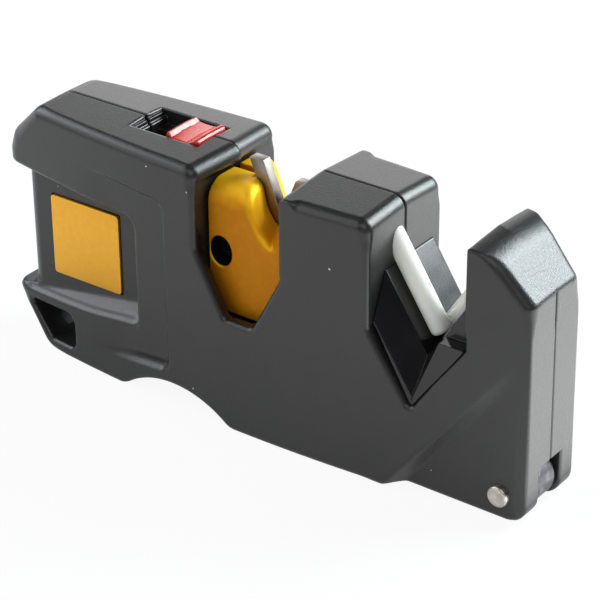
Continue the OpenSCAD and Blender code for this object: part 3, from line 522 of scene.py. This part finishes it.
def surface_net(field, low, high, step):
    """Points and quads on the zero level of a field inside the given box."""
    axes = [np.arange(a - GRID_BEFORE * step, b + GRID_AFTER * step, step) for a, b in zip(low, high)]
    x, y, z = axes[0][:, None, None], axes[1][None, :, None], axes[2][None, None, :]
    value = np.broadcast_to(field(x, y, z), [len(axis) for axis in axes])
    inside = value < 0
    count = np.zeros([len(axis) - 1 for axis in axes], np.int8)
    corners = [np.array((i, j, k)) for i in (0, 1) for j in (0, 1) for k in (0, 1)]
    size = np.array(count.shape)
    for corner in corners:
        count += inside[tuple(slice(c, c + n) for c, n in zip(corner, size))]
    mixed = (count > 0) & (count < 8)
    cell = np.argwhere(mixed)
    number = np.full(count.shape, -1)
    number[mixed] = np.arange(len(cell))
    total, hits = np.zeros((len(cell), 3)), np.zeros(len(cell))
    for corner in corners:
        for axis in np.nonzero(corner == 0)[0]:
            ahead = np.eye(3, dtype=int)[axis]
            a, b = value[tuple((cell + corner).T)], value[tuple((cell + corner + ahead).T)]
            cross = (a < 0) != (b < 0)
            t = np.where(cross, a / np.where(cross, a - b, 1), 0)
            total += cross[:, None] * (corner + t[:, None] * ahead)
            hits += cross
    place = np.array([axis[0] for axis in axes]) + (cell + total / hits[:, None]) * step
    return place, np.concatenate([net_quads(inside, number, axis) for axis in range(3)])


def net_quads(inside, number, axis):
    """Quads across the grid edges along one axis that pass through the surface."""
    a = np.eye(3, dtype=int)[axis]
    b, c = np.roll(a, 1), np.roll(a, 2)
    size = np.array(inside.shape) - a
    start = inside[tuple(slice(0, n) for n in size)]
    end = inside[tuple(slice(s, s + n) for s, n in zip(a, size))]
    edge = np.argwhere(start != end)
    around = [number[tuple((edge - shift).T)] for shift in (b + c, c, 0 * a, b)]
    quads = np.stack(around, 1)
    outward = start[tuple(edge.T)]
    quads[~outward] = quads[~outward][:, ::-1]
    return quads


def slope_at(field, place, reach=0.004):
    """Value and slope of a field at scattered points."""
    x, y, z = place.T
    value = field(x, y, z)
    ahead = [field(x + reach, y, z), field(x, y + reach, z), field(x, y, z + reach)]
    return value, np.stack([(one - value) / reach for one in ahead], 1)


def add_object(name, mesh):
    """Object of a finished mesh in the scene."""
    made = bpy.data.objects.new(name, mesh)
    bpy.context.scene.collection.objects.link(made)
    return made


def field_piece(name, field, low, high, step):
    """Smooth piece on the zero level of a distance field."""
    place, quads = surface_net(field, low, high, step)
    for _ in range(SETTLE_TURNS):
        value, slope = slope_at(field, place)
        steep = np.maximum((slope ** 2).sum(1), LEAST_STEEP)
        move = slope * (value / steep)[:, None]
        place = place - np.clip(move, -step / 2, step / 2)
    slope = slope_at(field, place)[1]
    normal = slope / np.maximum(np.linalg.norm(slope, axis=1), 1e-6)[:, None]
    mesh = bpy.data.meshes.new(name)
    mesh.from_pydata(place * MM, [], quads.tolist())
    mesh.shade_smooth()
    mesh.normals_split_custom_set_from_vertices(normal)
    return add_object(name, mesh)


def finish_mesh(name, work, angle=38):
    """Object from a worked mesh in millimetres, smooth but for its sharp edges."""
    bmesh.ops.recalc_face_normals(work, faces=work.faces)
    bmesh.ops.scale(work, vec=(MM, MM, MM), verts=work.verts)
    mesh = bpy.data.meshes.new(name)
    work.to_mesh(mesh)
    work.free()
    mesh.shade_smooth()
    mesh.set_sharp_from_angle(angle=math.radians(angle))
    return add_object(name, mesh)


def lathe_piece(name, profile, place, around=64):
    """Turned piece from (radius, height) pairs, set in place by a matrix."""
    work = bmesh.new()
    rings = []
    for radius, height in profile:
        turns = [2 * math.pi * step / around for step in range(around)]
        points = [place @ Vector((radius * math.cos(a), radius * math.sin(a), height)) for a in turns]
        rings.append([work.verts.new(point) for point in points])
    for low, high in zip(rings, rings[1:]):
        for step in range(around):
            after = (step + 1) % around
            work.faces.new((low[step], low[after], high[after], high[step]))
    work.faces.new(rings[0][::-1])
    work.faces.new(rings[-1])
    return finish_mesh(name, work)


def prism_piece(name, outline, front, rear, bevel):
    """Prism along Y from an outline in X and Z, with bevelled edges."""
    work = bmesh.new()
    near = [work.verts.new((x, front, z)) for x, z in outline]
    far = [work.verts.new((x, rear, z)) for x, z in outline]
    count = len(outline)
    work.faces.new(near)
    work.faces.new(far[::-1])
    for index in range(count):
        after = (index + 1) % count
        work.faces.new((near[index], far[index], far[after], near[after]))
    bmesh.ops.recalc_face_normals(work, faces=work.faces)
    bmesh.ops.bevel(work, geom=list(work.edges), offset=bevel, segments=3, profile=0.5, affect="EDGES")
    return finish_mesh(name, work, 50)


def softened(radius, low, high, edge, steps=4):
    """Profile of a cylinder with rounded rims."""
    turns = [math.pi / 2 * step / steps for step in range(steps + 1)]
    foot = [(radius - edge + edge * math.sin(a), low + edge - edge * math.cos(a)) for a in turns]
    head = [(radius - edge + edge * math.cos(a), high - edge + edge * math.sin(a)) for a in turns]
    return foot + head


# Materials
class Look:
    """Material with one main shader and short ways to add nodes to it."""

    def __init__(self, name, **inputs):
        self.material = bpy.data.materials.new(name)
        self.material.use_nodes = True
        self.tree = self.material.node_tree
        self.shader = self.tree.nodes["Principled BSDF"]
        self.coordinates = self.tree.nodes.new("ShaderNodeTexCoord")
        self.place = self.coordinates.outputs["Object"]
        for key, value in inputs.items():
            self.set(self.shader, key.replace("_", " "), value)

    def set(self, node, key, value):
        """Gives an input a value, or a link from another node's output."""
        socket = node.inputs[key]
        if isinstance(value, bpy.types.NodeSocket):
            self.tree.links.new(value, socket)
        elif isinstance(value, tuple) and socket.type == "RGBA":
            socket.default_value = (*value, 1)
        else:
            socket.default_value = value

    def noise(self, scale, detail=3.0, stretch=None):
        """Noise value over the piece, with its scale in cells per metre."""
        place = self.place
        if stretch:
            node = self.tree.nodes.new("ShaderNodeMapping")
            self.set(node, "Vector", place)
            self.set(node, "Scale", stretch)
            place = node.outputs["Vector"]
        node = self.tree.nodes.new("ShaderNodeTexNoise")
        self.set(node, "Vector", place)
        self.set(node, "Scale", scale)
        self.set(node, "Detail", detail)
        return node.outputs["Fac"]

    def span(self, value, low, high, start=0.3, end=0.7):
        """Value between start and end brought to the range from low to high."""
        node = self.tree.nodes.new("ShaderNodeMapRange")
        keys = "Value", "From Min", "From Max", "To Min", "To Max"
        for key, one in zip(keys, (value, start, end, low, high)):
            self.set(node, key, one)
        return node.outputs["Result"]

    def blend(self, value, *colours):
        """Colours spread evenly over the values from 0 to 1."""
        node = self.tree.nodes.new("ShaderNodeValToRGB")
        ramp_stops = node.color_ramp.elements
        while len(ramp_stops) < len(colours):
            ramp_stops.new(0.5)
        for index, colour in enumerate(colours):
            ramp_stops[index].position = index / (len(colours) - 1)
            ramp_stops[index].color = (*colour, 1)
        self.set(node, "Fac", value)
        return node.outputs["Color"]

    def specks(self, scale, size):
        """Sparse round specks as a 0 or 1 mask."""
        cells = self.tree.nodes.new("ShaderNodeTexVoronoi")
        self.set(cells, "Vector", self.place)
        self.set(cells, "Scale", scale)
        split = self.tree.nodes.new("ShaderNodeSeparateColor")
        self.set(split, "Color", cells.outputs["Color"])
        radius = self.span(split.outputs["Red"], 0.0, size, 0.55, 1.0)
        return self.math("LESS_THAN", cells.outputs["Distance"], radius)

    def math(self, kind, *values):
        """Result of one arithmetic node."""
        node = self.tree.nodes.new("ShaderNodeMath")
        node.operation = kind
        for index, value in enumerate(values):
            self.set(node, index, value)
        return node.outputs["Value"]

    def split(self, vector):
        """The X, Y and Z of a vector."""
        node = self.tree.nodes.new("ShaderNodeSeparateXYZ")
        self.set(node, "Vector", vector)
        return node.outputs

    def over(self, mask, below, above):
        """One colour laid over another where the mask is 1."""
        node = self.tree.nodes.new("ShaderNodeMix")
        node.data_type = "RGBA"
        self.set(node, "Factor", mask)
        self.tree.links.new(below, node.inputs[6])
        node.inputs[7].default_value = (*above, 1)
        return node.outputs[2]

    def bump(self, height, depth, strength=1.0):
        """Fine relief of the surface, with its depth in millimetres."""
        node = self.tree.nodes.new("ShaderNodeBump")
        self.set(node, "Height", height)
        self.set(node, "Distance", depth * MM)
        self.set(node, "Strength", strength)
        self.set(self.shader, "Normal", node.outputs["Normal"])


def black_plastic():
    """Fine grained black plastic with a few dust specks."""
    look = Look("black_plastic", IOR=1.6)
    tone = look.blend(look.noise(140, 4), (0.008, 0.008, 0.008), (0.015, 0.015, 0.014))
    look.set(look.shader, "Base Color", look.over(look.specks(200, 0.045), tone, (0.55, 0.54, 0.50)))
    look.set(look.shader, "Roughness", look.span(look.noise(2600, 2), 0.31, 0.39))
    look.bump(look.noise(3000, 2), 0.045, 0.8)
    return look.material


def bore_shade_mask(look):
    """Mask of the bore in which the clamp's head sits, where the gold is painted near black as shade."""
    place = look.split(look.place)
    offsets = zip((place["X"], place["Z"]), (CLAMPS[0][0], CLAMPS[0][2]), CLAMP_HOLE)
    shares = [look.math("DIVIDE", look.math("SUBTRACT", at, mid * MM), r * MM) for at, mid, r in offsets]
    squares = [look.math("MULTIPLY", share, share) for share in shares]
    deep = look.math("LESS_THAN", look.math("ABSOLUTE", place["Y"]), (CARRIER_T - BORE_SKIN) * MM)
    near = look.math("LESS_THAN", look.math("ADD", *squares), BORE_REACH)
    return look.math("MULTIPLY", near, deep)


def gold_metal():
    """Satin gold finish of the carrier, with painted light that makes it lighter and yellower on faces turned
    up and to the right, and painted shade near black in the clamp's bore.
    """
    look = Look("gold_metal", Metallic=0.35, Specular_IOR_Level=0.15)
    # Painted light: faces turned up and towards the lamps on the right take the lighter, yellower gold, and
    # faces turned down or left take the darker; the noise adds random tone.
    facing = look.split(look.coordinates.outputs["Normal"])
    upper = look.math("ADD", facing["Z"], look.math("MULTIPLY", facing["X"], 0.7))
    upper = look.math("ADD", upper, look.span(look.noise(600, 4), -0.08, 0.08))
    upper = look.span(upper, 0, 1, 0.0, 0.85)
    tone = look.blend(upper, (0.53, 0.19, 0.002), (0.72, 0.31, 0.004), (1.0, 0.54, 0.012))
    # Painted shade: the clamp's bore is coloured near black.
    look.set(look.shader, "Base Color", look.over(bore_shade_mask(look), tone, (0.01, 0.008, 0.006)))
    look.set(look.shader, "Roughness", look.span(look.noise(2600, 3), 0.40, 0.50))
    look.bump(look.noise(4200, 2), 0.014, 0.4)
    return look.material


def badge_metal():
    """Flat gold finish of the badge."""
    look = Look("badge_metal", Metallic=0.85)
    tone = look.blend(look.noise(900, 4), (0.84, 0.42, 0.04), (0.93, 0.50, 0.06))
    look.set(look.shader, "Base Color", tone)
    look.set(look.shader, "Roughness", look.span(look.noise(1200, 3), 0.42, 0.52))
    look.bump(look.noise(5200, 2), 0.006, 0.3)
    return look.material


def gloss_plastic():
    """Glossy black of the insert between the ceramic rods."""
    look = Look("gloss_plastic", IOR=1.52)
    tone = look.blend(look.noise(300), (0.006, 0.006, 0.007), (0.012, 0.012, 0.014))
    look.set(look.shader, "Base Color", tone)
    look.set(look.shader, "Roughness", look.span(look.noise(240, 3), 0.14, 0.22))
    look.bump(look.noise(3200, 2), 0.012, 0.35)
    return look.material


def ceramic():
    """Fine matt off-white ceramic."""
    depth = {"Subsurface_Scale": 0.003, "Subsurface_Radius": (1.0, 0.95, 0.85)}
    look = Look("ceramic", Subsurface_Weight=0.6, **depth)
    tone = look.blend(look.noise(900, 5), (0.94, 0.92, 0.84), (0.98, 0.96, 0.89))
    look.set(look.shader, "Base Color", look.over(look.specks(700, 0.05), tone, (0.45, 0.42, 0.36)))
    look.set(look.shader, "Roughness", look.span(look.noise(900), 0.48, 0.6))
    look.bump(look.noise(6000, 2), 0.01, 0.4)
    return look.material


def carbide():
    """Ground grey carbide."""
    look = Look("carbide", Metallic=1.0)
    tone = look.blend(look.noise(700, 4), (0.26, 0.23, 0.20), (0.38, 0.35, 0.32))
    look.set(look.shader, "Base Color", tone)
    look.set(look.shader, "Roughness", look.span(look.noise(500, 4), 0.34, 0.5))
    look.bump(look.noise(1500, 3, (1, 1, 6)), 0.01, 0.35)
    return look.material


def red_plastic():
    """Glossy red plastic of the button."""
    look = Look("red_plastic", Coat_Weight=0.3, Coat_Roughness=0.12)
    tone = look.blend(look.noise(500, 4), (0.50, 0.016, 0.012), (0.62, 0.03, 0.02))
    look.set(look.shader, "Base Color", tone)
    look.set(look.shader, "Roughness", look.span(look.noise(900, 4), 0.18, 0.34))
    look.bump(look.noise(3000, 2), 0.01, 0.25)
    return look.material


def worn_steel(name, dark, light, rough, scale=500):
    """Steel with brighter worn spots."""
    look = Look(name, Metallic=1.0)
    worn = look.span(look.noise(scale, 5), 0, 1, 0.5, 0.72)
    look.set(look.shader, "Base Color", look.blend(worn, dark, light))
    look.set(look.shader, "Roughness", look.span(look.noise(scale * 2), rough, rough + 0.14))
    look.bump(look.noise(scale * 6, 3), 0.01, 0.3)
    return look.material


def abrasive():
    """Steel rod with a coat of fine diamond grit."""
    look = Look("diamond_grit", Metallic=0.8)
    tone = look.blend(look.noise(5200, 2), (0.20, 0.20, 0.19), (0.55, 0.55, 0.53))
    look.set(look.shader, "Base Color", tone)
    look.set(look.shader, "Roughness", look.span(look.noise(5200, 2), 0.35, 0.6))
    look.bump(look.noise(4600, 2), 0.04, 0.8)
    return look.material


FLOOR_LIFT = 0.92
FLOOR_Z, FLOOR_REACH = -0.02 * MM, 4.0
# Painted shadow in the floor's glow as reflections see it: it fades out away from the object across Y, and
# along X it lifts from nothing on the left to FLOOR_NEAR on the right.
FLOOR_FAR, FLOOR_ACROSS, FLOOR_NEAR = (0.014, 0.06), (-0.06, 0.02), 0.45


def white_floor():
    """Matt white floor, held near white in the picture but with the object's shadow left on it, and with a
    painted shadow that dims its glow in reflections near the object.
    """
    look = Look("white_floor", Roughness=0.9)
    tone = look.blend(look.noise(8), (0.90, 0.90, 0.90), (0.92, 0.92, 0.92))
    look.set(look.shader, "Base Color", tone)
    path = look.tree.nodes.new("ShaderNodeLightPath")
    place = look.split(look.place)
    # Painted shadow: reflections see the floor's glow dimmed near the object, most on its left.
    far = look.span(look.math("ABSOLUTE", place["Y"]), 0.0, 1.0, *FLOOR_FAR)
    near = look.span(place["X"], 0.0, FLOOR_NEAR, *FLOOR_ACROSS)
    painted_shadow_glow = look.math("ADD", near, look.math("MULTIPLY", far, look.math("SUBTRACT", 1.0, near)))
    painted_shadow_glow = look.math("MULTIPLY", path.outputs["Is Glossy Ray"], painted_shadow_glow)
    total = look.math("MAXIMUM", path.outputs["Is Camera Ray"], painted_shadow_glow)
    total = look.math("MAXIMUM", total, path.outputs["Is Transmission Ray"])
    share = look.span(total, 0.0, FLOOR_LIFT, 0.0, 1.0)
    glow = look.tree.nodes.new("ShaderNodeEmission")
    mix = look.tree.nodes.new("ShaderNodeMixShader")
    look.set(mix, 0, share)
    look.tree.links.new(look.shader.outputs["BSDF"], mix.inputs[1])
    look.tree.links.new(glow.outputs["Emission"], mix.inputs[2])
    look.tree.links.new(mix.outputs["Shader"], look.tree.nodes["Material Output"].inputs["Surface"])
    return look.material


def dress(piece, material):
    """Puts one material on a piece."""
    piece.data.materials.clear()
    piece.data.materials.append(material)


# Pieces
BODIES = {
    "case": (
        "front_shell", "rear_shell", "badge_plate", "hinge_pin",
        "ceramic_holder", "ceramic_left", "ceramic_right",
    ),
    "carrier": ("carrier_front", "carrier_rear", "carbide_left", "carbide_right"),
    "lock": ("lock_button",),
    "rod": ("rod_knuckle", "diamond_rod"),
}
SHELL_GROW, CARRIER_GROW, BOX_GROW = 0.4, 0.8, 0.4
CARBIDE_TILT, CARBIDE_BEVEL = math.radians(22), 0.12
BADGE_R, BADGE_BEVEL = 0.7, 0.15
PIN_RIM_R, PIN_FACE = 0.45, ((1.1, 0.12), (0.8, 0))
TIP_SHARE, TIP_ROUND, TIP_STEPS = 0.68, 0.7, 6
SHANK, SHANK_SHARE = 8, 0.8


def stand_for(piece, node, material):
    """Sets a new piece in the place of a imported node."""
    bodies = {one: body for body, names in BODIES.items() for one in names}
    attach(piece, bodies[node])
    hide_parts(node)
    dress(piece, material)


def build_fields(looks):
    """Pieces that are cut from distance fields."""
    rear_low = SHELL_LOW * [1, 0, 1] - [0, SHELL_GROW, 0]
    rear_high = SHELL_HIGH * [1, 0, 1] + [0, HALF_T, 0]
    carrier_high = CARRIER_HIGH + [0, 0, CARRIER_GROW]
    plans = (
        ("front_shell", "casing", front_shell, SHELL_LOW, SHELL_HIGH + [0, SHELL_GROW, 0], SHELL_STEP),
        ("rear_shell", "casing", rear_shell, rear_low, rear_high, SHELL_STEP),
        ("carrier_front", "carrier", lobe_front, CARRIER_LOW, carrier_high, FINE_STEP),
        ("carrier_rear", "carrier", lobe_rear, *span("carrier_rear"), FINE_STEP),
        ("ceramic_holder", "holder", holder, HOLDER_LOW, HOLDER_HIGH, FINE_STEP),
        ("lock_button", "button", button, BUTTON_LOW, BUTTON_HIGH, BUTTON_STEP),
        ("rod_knuckle", "knuckle", knuckle, KNUCKLE_LOW, KNUCKLE_HIGH, FINE_STEP),
    )
    for node, slot, field, low, high, step in plans:
        piece = field_piece(node + "_look", field, low, np.array(high) + [0, 0, BOX_GROW], step)
        stand_for(piece, node, looks[slot])


def build_ceramics(looks):
    """Ceramic rods with rounded ends."""
    for node, side in (("ceramic_left", -1), ("ceramic_right", 1)):
        low, high = span(node)
        thick = high[1] - low[1]
        length = (high[2] - low[2] - thick * math.sin(HONE_TILT)) / math.cos(HONE_TILT)
        sink = Vector((side * math.cos(HONE_TILT), 0, -math.sin(HONE_TILT))) * ROD_SINK
        middle = Matrix.Translation(Vector((low + high) / 2) + sink)
        place = middle @ Matrix.Rotation(side * HONE_TILT, 4, "Y")
        profile = softened(thick / 2, -length / 2, length / 2, ROD_END_R, 6)
        piece = lathe_piece(node + "_look", profile, place)
        stand_for(piece, node, looks["ceramic"])


def build_pin(looks):
    """Hinge pin with a rounded rim and a shallow turned face at both ends."""
    place = Matrix.Translation((PIN_X, 0, PIN_Z)) @ Matrix.Rotation(math.radians(90), 4, "X")
    reach = PIN_HIGH[1]
    rim = softened(PIN_R, -reach, reach, PIN_RIM_R, 3)
    face = [(PIN_R - inward, -reach + sunk) for inward, sunk in PIN_FACE]
    piece = lathe_piece("hinge_pin_look", face + rim + [(r, -z) for r, z in face[::-1]], place)
    stand_for(piece, "hinge_pin", looks["pin_steel"])


def build_folding_rod(looks):
    """Tapered rod with a round tip and a thinner shank in the knuckle."""
    thick = (ROD_HIGH[2] - ROD_LOW[2]) / 2
    length = ROD_HIGH[0] - ROD_LOW[0]
    tip = thick * TIP_SHARE
    turns = [math.pi / 2 * step / TIP_STEPS for step in range(1, TIP_STEPS + 1)]
    nose = [(tip * math.sin(a), tip * TIP_ROUND * (1 - math.cos(a))) for a in turns]
    place = Matrix.Translation((ROD_LOW[0], 0, PIN_Z)) @ Matrix.Rotation(math.radians(90), 4, "Y")
    thin, start = thick * SHANK_SHARE, length - SHANK
    shank = [(thick, start), (thin, start), (thin, length)]
    piece = lathe_piece("diamond_rod_look", nose + shank, place)
    stand_for(piece, "diamond_rod", looks["abrasive"])


def build_plates(looks):
    """Flat pieces with bevelled edges: carbide bars and badge."""
    for node, side in (("carbide_left", -1), ("carbide_right", 1)):
        low, high = span(node)
        run = (high[2] - low[2]) * math.tan(CARBIDE_TILT)
        wide = high[0] - low[0] - run
        start = low[0] if side > 0 else high[0] - wide
        shift = side * run
        foot, head = (start, start + wide), (start + wide + shift, start + shift)
        outline = [(x, low[2]) for x in foot] + [(x, high[2]) for x in head]
        piece = prism_piece(node + "_look", outline, low[1], high[1], CARBIDE_BEVEL)
        stand_for(piece, node, looks["carbide"])
    low, high = BADGE_LOW, BADGE_HIGH
    corners = (low[0], low[2]), (high[0], low[2]), (high[0], high[2]), (low[0], high[2])
    outline = rounded([(x, z, BADGE_R) for x, z in corners])
    piece = prism_piece("badge_plate_look", outline, low[1], high[1], BADGE_BEVEL)
    stand_for(piece, "badge_plate", looks["badge"])


def dress_packed(looks):
    """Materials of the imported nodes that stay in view."""
    slots = {
        "case_screws": "screw_steel", "carrier_screws": "dark_steel", "carrier_nuts": "dark_steel",
        "lock_screw": "screw_steel", "case_inserts": "bush_brass", "axle_bushes": "bush_brass",
        "friction_washers": "bush_brass", "knuckle_bush": "bush_brass", "centring_springs": "spring_steel",
        "lock_spring": "spring_steel", "carrier_axle": "pin_steel", "lock_slider": "slider",
    }
    for node, slot in slots.items():
        dress(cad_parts[node], looks[slot])


# Studio
CAMERA_AT = (0.22992, -0.30383, 0.23403)
CAMERA_AXES = ((0.80581, 0.59214, -0.00683), (-0.28271, 0.39481, 0.87418), (0.52034, -0.70249, 0.48554))
LENS, SENSOR, NEAREST = 143.62, 36, 0.01
LAMPS = (
    ("key", (0.52, 0.69, 0.53), 0.7, 0.40, 16.0, (0.88, 0.97, 1.0)),
    ("rear_left", (-0.53, 0.80, 0.28), 0.9, 0.52, 2.2),
    ("overhead", (-0.86, -0.08, 0.50), 0.9, 0.55, 4.2, (0.88, 0.94, 1.0)),
    ("fill_left", (-0.52, -0.68, 0.52), 0.9, 0.8, 1.3),
    ("fill_right", (0.45, -0.60, 0.66), 0.9, 0.6, 1.5),
)
LAMP_AIM = Vector((0, 0, 0.025))
TABLE_GLOW, TABLE_GLOW_Z = ((0.062, -0.03), (0.30, 0.25), 2.1), 0.0005
SURROUND = {"From Min": -0.7, "From Max": 0.6, "To Min": 0.037, "To Max": 0.031}


def build_floor():
    """Large pale floor under the object."""
    mesh = bpy.data.meshes.new("floor")
    turns = (-1, -1), (1, -1), (1, 1), (-1, 1)
    corners = [(x * FLOOR_REACH, y * FLOOR_REACH, FLOOR_Z) for x, y in turns]
    mesh.from_pydata(corners, [], [(0, 1, 2, 3)])
    floor = add_object("floor", mesh)
    dress(floor, white_floor())


def build_panel(name, toward, distance, size, glow, tint=(1, 1, 1)):
    """Square lamp that faces the object, with its brightness as seen from the object."""
    lamp = bpy.data.lights.new(name, "AREA")
    lamp.size = size
    lamp.energy = glow * math.pi * size ** 2
    lamp.color = tint
    made = bpy.data.objects.new(name, lamp)
    aim = Vector(toward).normalized()
    made.location = aim * distance + LAMP_AIM
    made.rotation_euler = aim.to_track_quat("Z", "Y").to_euler()
    bpy.context.scene.collection.objects.link(made)


def build_table_glow(low, high, glow):
    """Light that the white table beside the object throws back at its end face."""
    lamp = bpy.data.lights.new("table_glow", "AREA")
    lamp.shape = "RECTANGLE"
    lamp.size, lamp.size_y = high[0] - low[0], high[1] - low[1]
    lamp.energy = glow * math.pi * lamp.size * lamp.size_y
    made = bpy.data.objects.new("table_glow", lamp)
    made.location = ((low[0] + high[0]) / 2, (low[1] + high[1]) / 2, TABLE_GLOW_Z)
    made.rotation_euler = (math.pi, 0, 0)
    made.visible_camera = False
    bpy.context.scene.collection.objects.link(made)


def build_world():
    """Dim surroundings that the camera sees as white."""
    world = bpy.data.worlds.new("studio")
    world.use_nodes = True
    tree = world.node_tree
    place = tree.nodes.new("ShaderNodeTexCoord")
    split = tree.nodes.new("ShaderNodeSeparateXYZ")
    tree.links.new(place.outputs["Generated"], split.inputs["Vector"])
    shade = tree.nodes.new("ShaderNodeMapRange")
    tree.links.new(split.outputs["Y"], shade.inputs["Value"])
    for key, value in SURROUND.items():
        shade.inputs[key].default_value = value
    path = tree.nodes.new("ShaderNodeLightPath")
    level = tree.nodes.new("ShaderNodeMath")
    level.operation = "MAXIMUM"
    tree.links.new(shade.outputs["Result"], level.inputs[0])
    tree.links.new(path.outputs["Is Camera Ray"], level.inputs[1])
    tree.nodes["Background"].inputs["Color"].default_value = (1, 1, 1, 1)
    tree.links.new(level.outputs["Value"], tree.nodes["Background"].inputs["Strength"])
    bpy.context.scene.world = world


def build_camera():
    """Camera at the photo's angle."""
    lens = bpy.data.cameras.new("camera")
    lens.lens = LENS
    lens.sensor_width = SENSOR
    lens.clip_start = NEAREST
    made = bpy.data.objects.new("camera", lens)
    made.matrix_world = Matrix.Translation(CAMERA_AT) @ Matrix(CAMERA_AXES).transposed().to_4x4()
    bpy.context.scene.collection.objects.link(made)
    bpy.context.scene.camera = made


def build_studio():
    """Floor, lamps, surroundings, camera and view."""
    build_floor()
    for lamp in LAMPS:
        build_panel(*lamp)
    build_table_glow(*TABLE_GLOW)
    build_world()
    build_camera()
    bpy.context.scene.view_settings.view_transform = "Standard"


def main():
    looks = {
        "casing": black_plastic(), "carrier": gold_metal(), "badge": badge_metal(), "holder": gloss_plastic(),
        "ceramic": ceramic(), "carbide": carbide(), "button": red_plastic(), "abrasive": abrasive(),
        "knuckle": worn_steel("knuckle_steel", (0.10, 0.10, 0.105), (0.26, 0.26, 0.26), 0.40),
        "pin_steel": worn_steel("pin_steel", (0.56, 0.53, 0.48), (0.78, 0.74, 0.67), 0.26, 900),
        "screw_steel": worn_steel("screw_steel", (0.40, 0.40, 0.41), (0.55, 0.55, 0.55), 0.3),
        "dark_steel": worn_steel("dark_steel", (0.012, 0.012, 0.012), (0.03, 0.03, 0.03), 0.45),
        "spring_steel": worn_steel("spring_steel", (0.42, 0.42, 0.44), (0.58, 0.58, 0.6), 0.25),
        "bush_brass": worn_steel("bush_brass", (0.55, 0.36, 0.12), (0.75, 0.55, 0.25), 0.28),
        "slider": black_plastic(),
    }
    build_fields(looks)
    build_ceramics(looks)
    build_pin(looks)
    build_folding_rod(looks)
    build_plates(looks)
    dress_packed(looks)
    build_studio()


main()
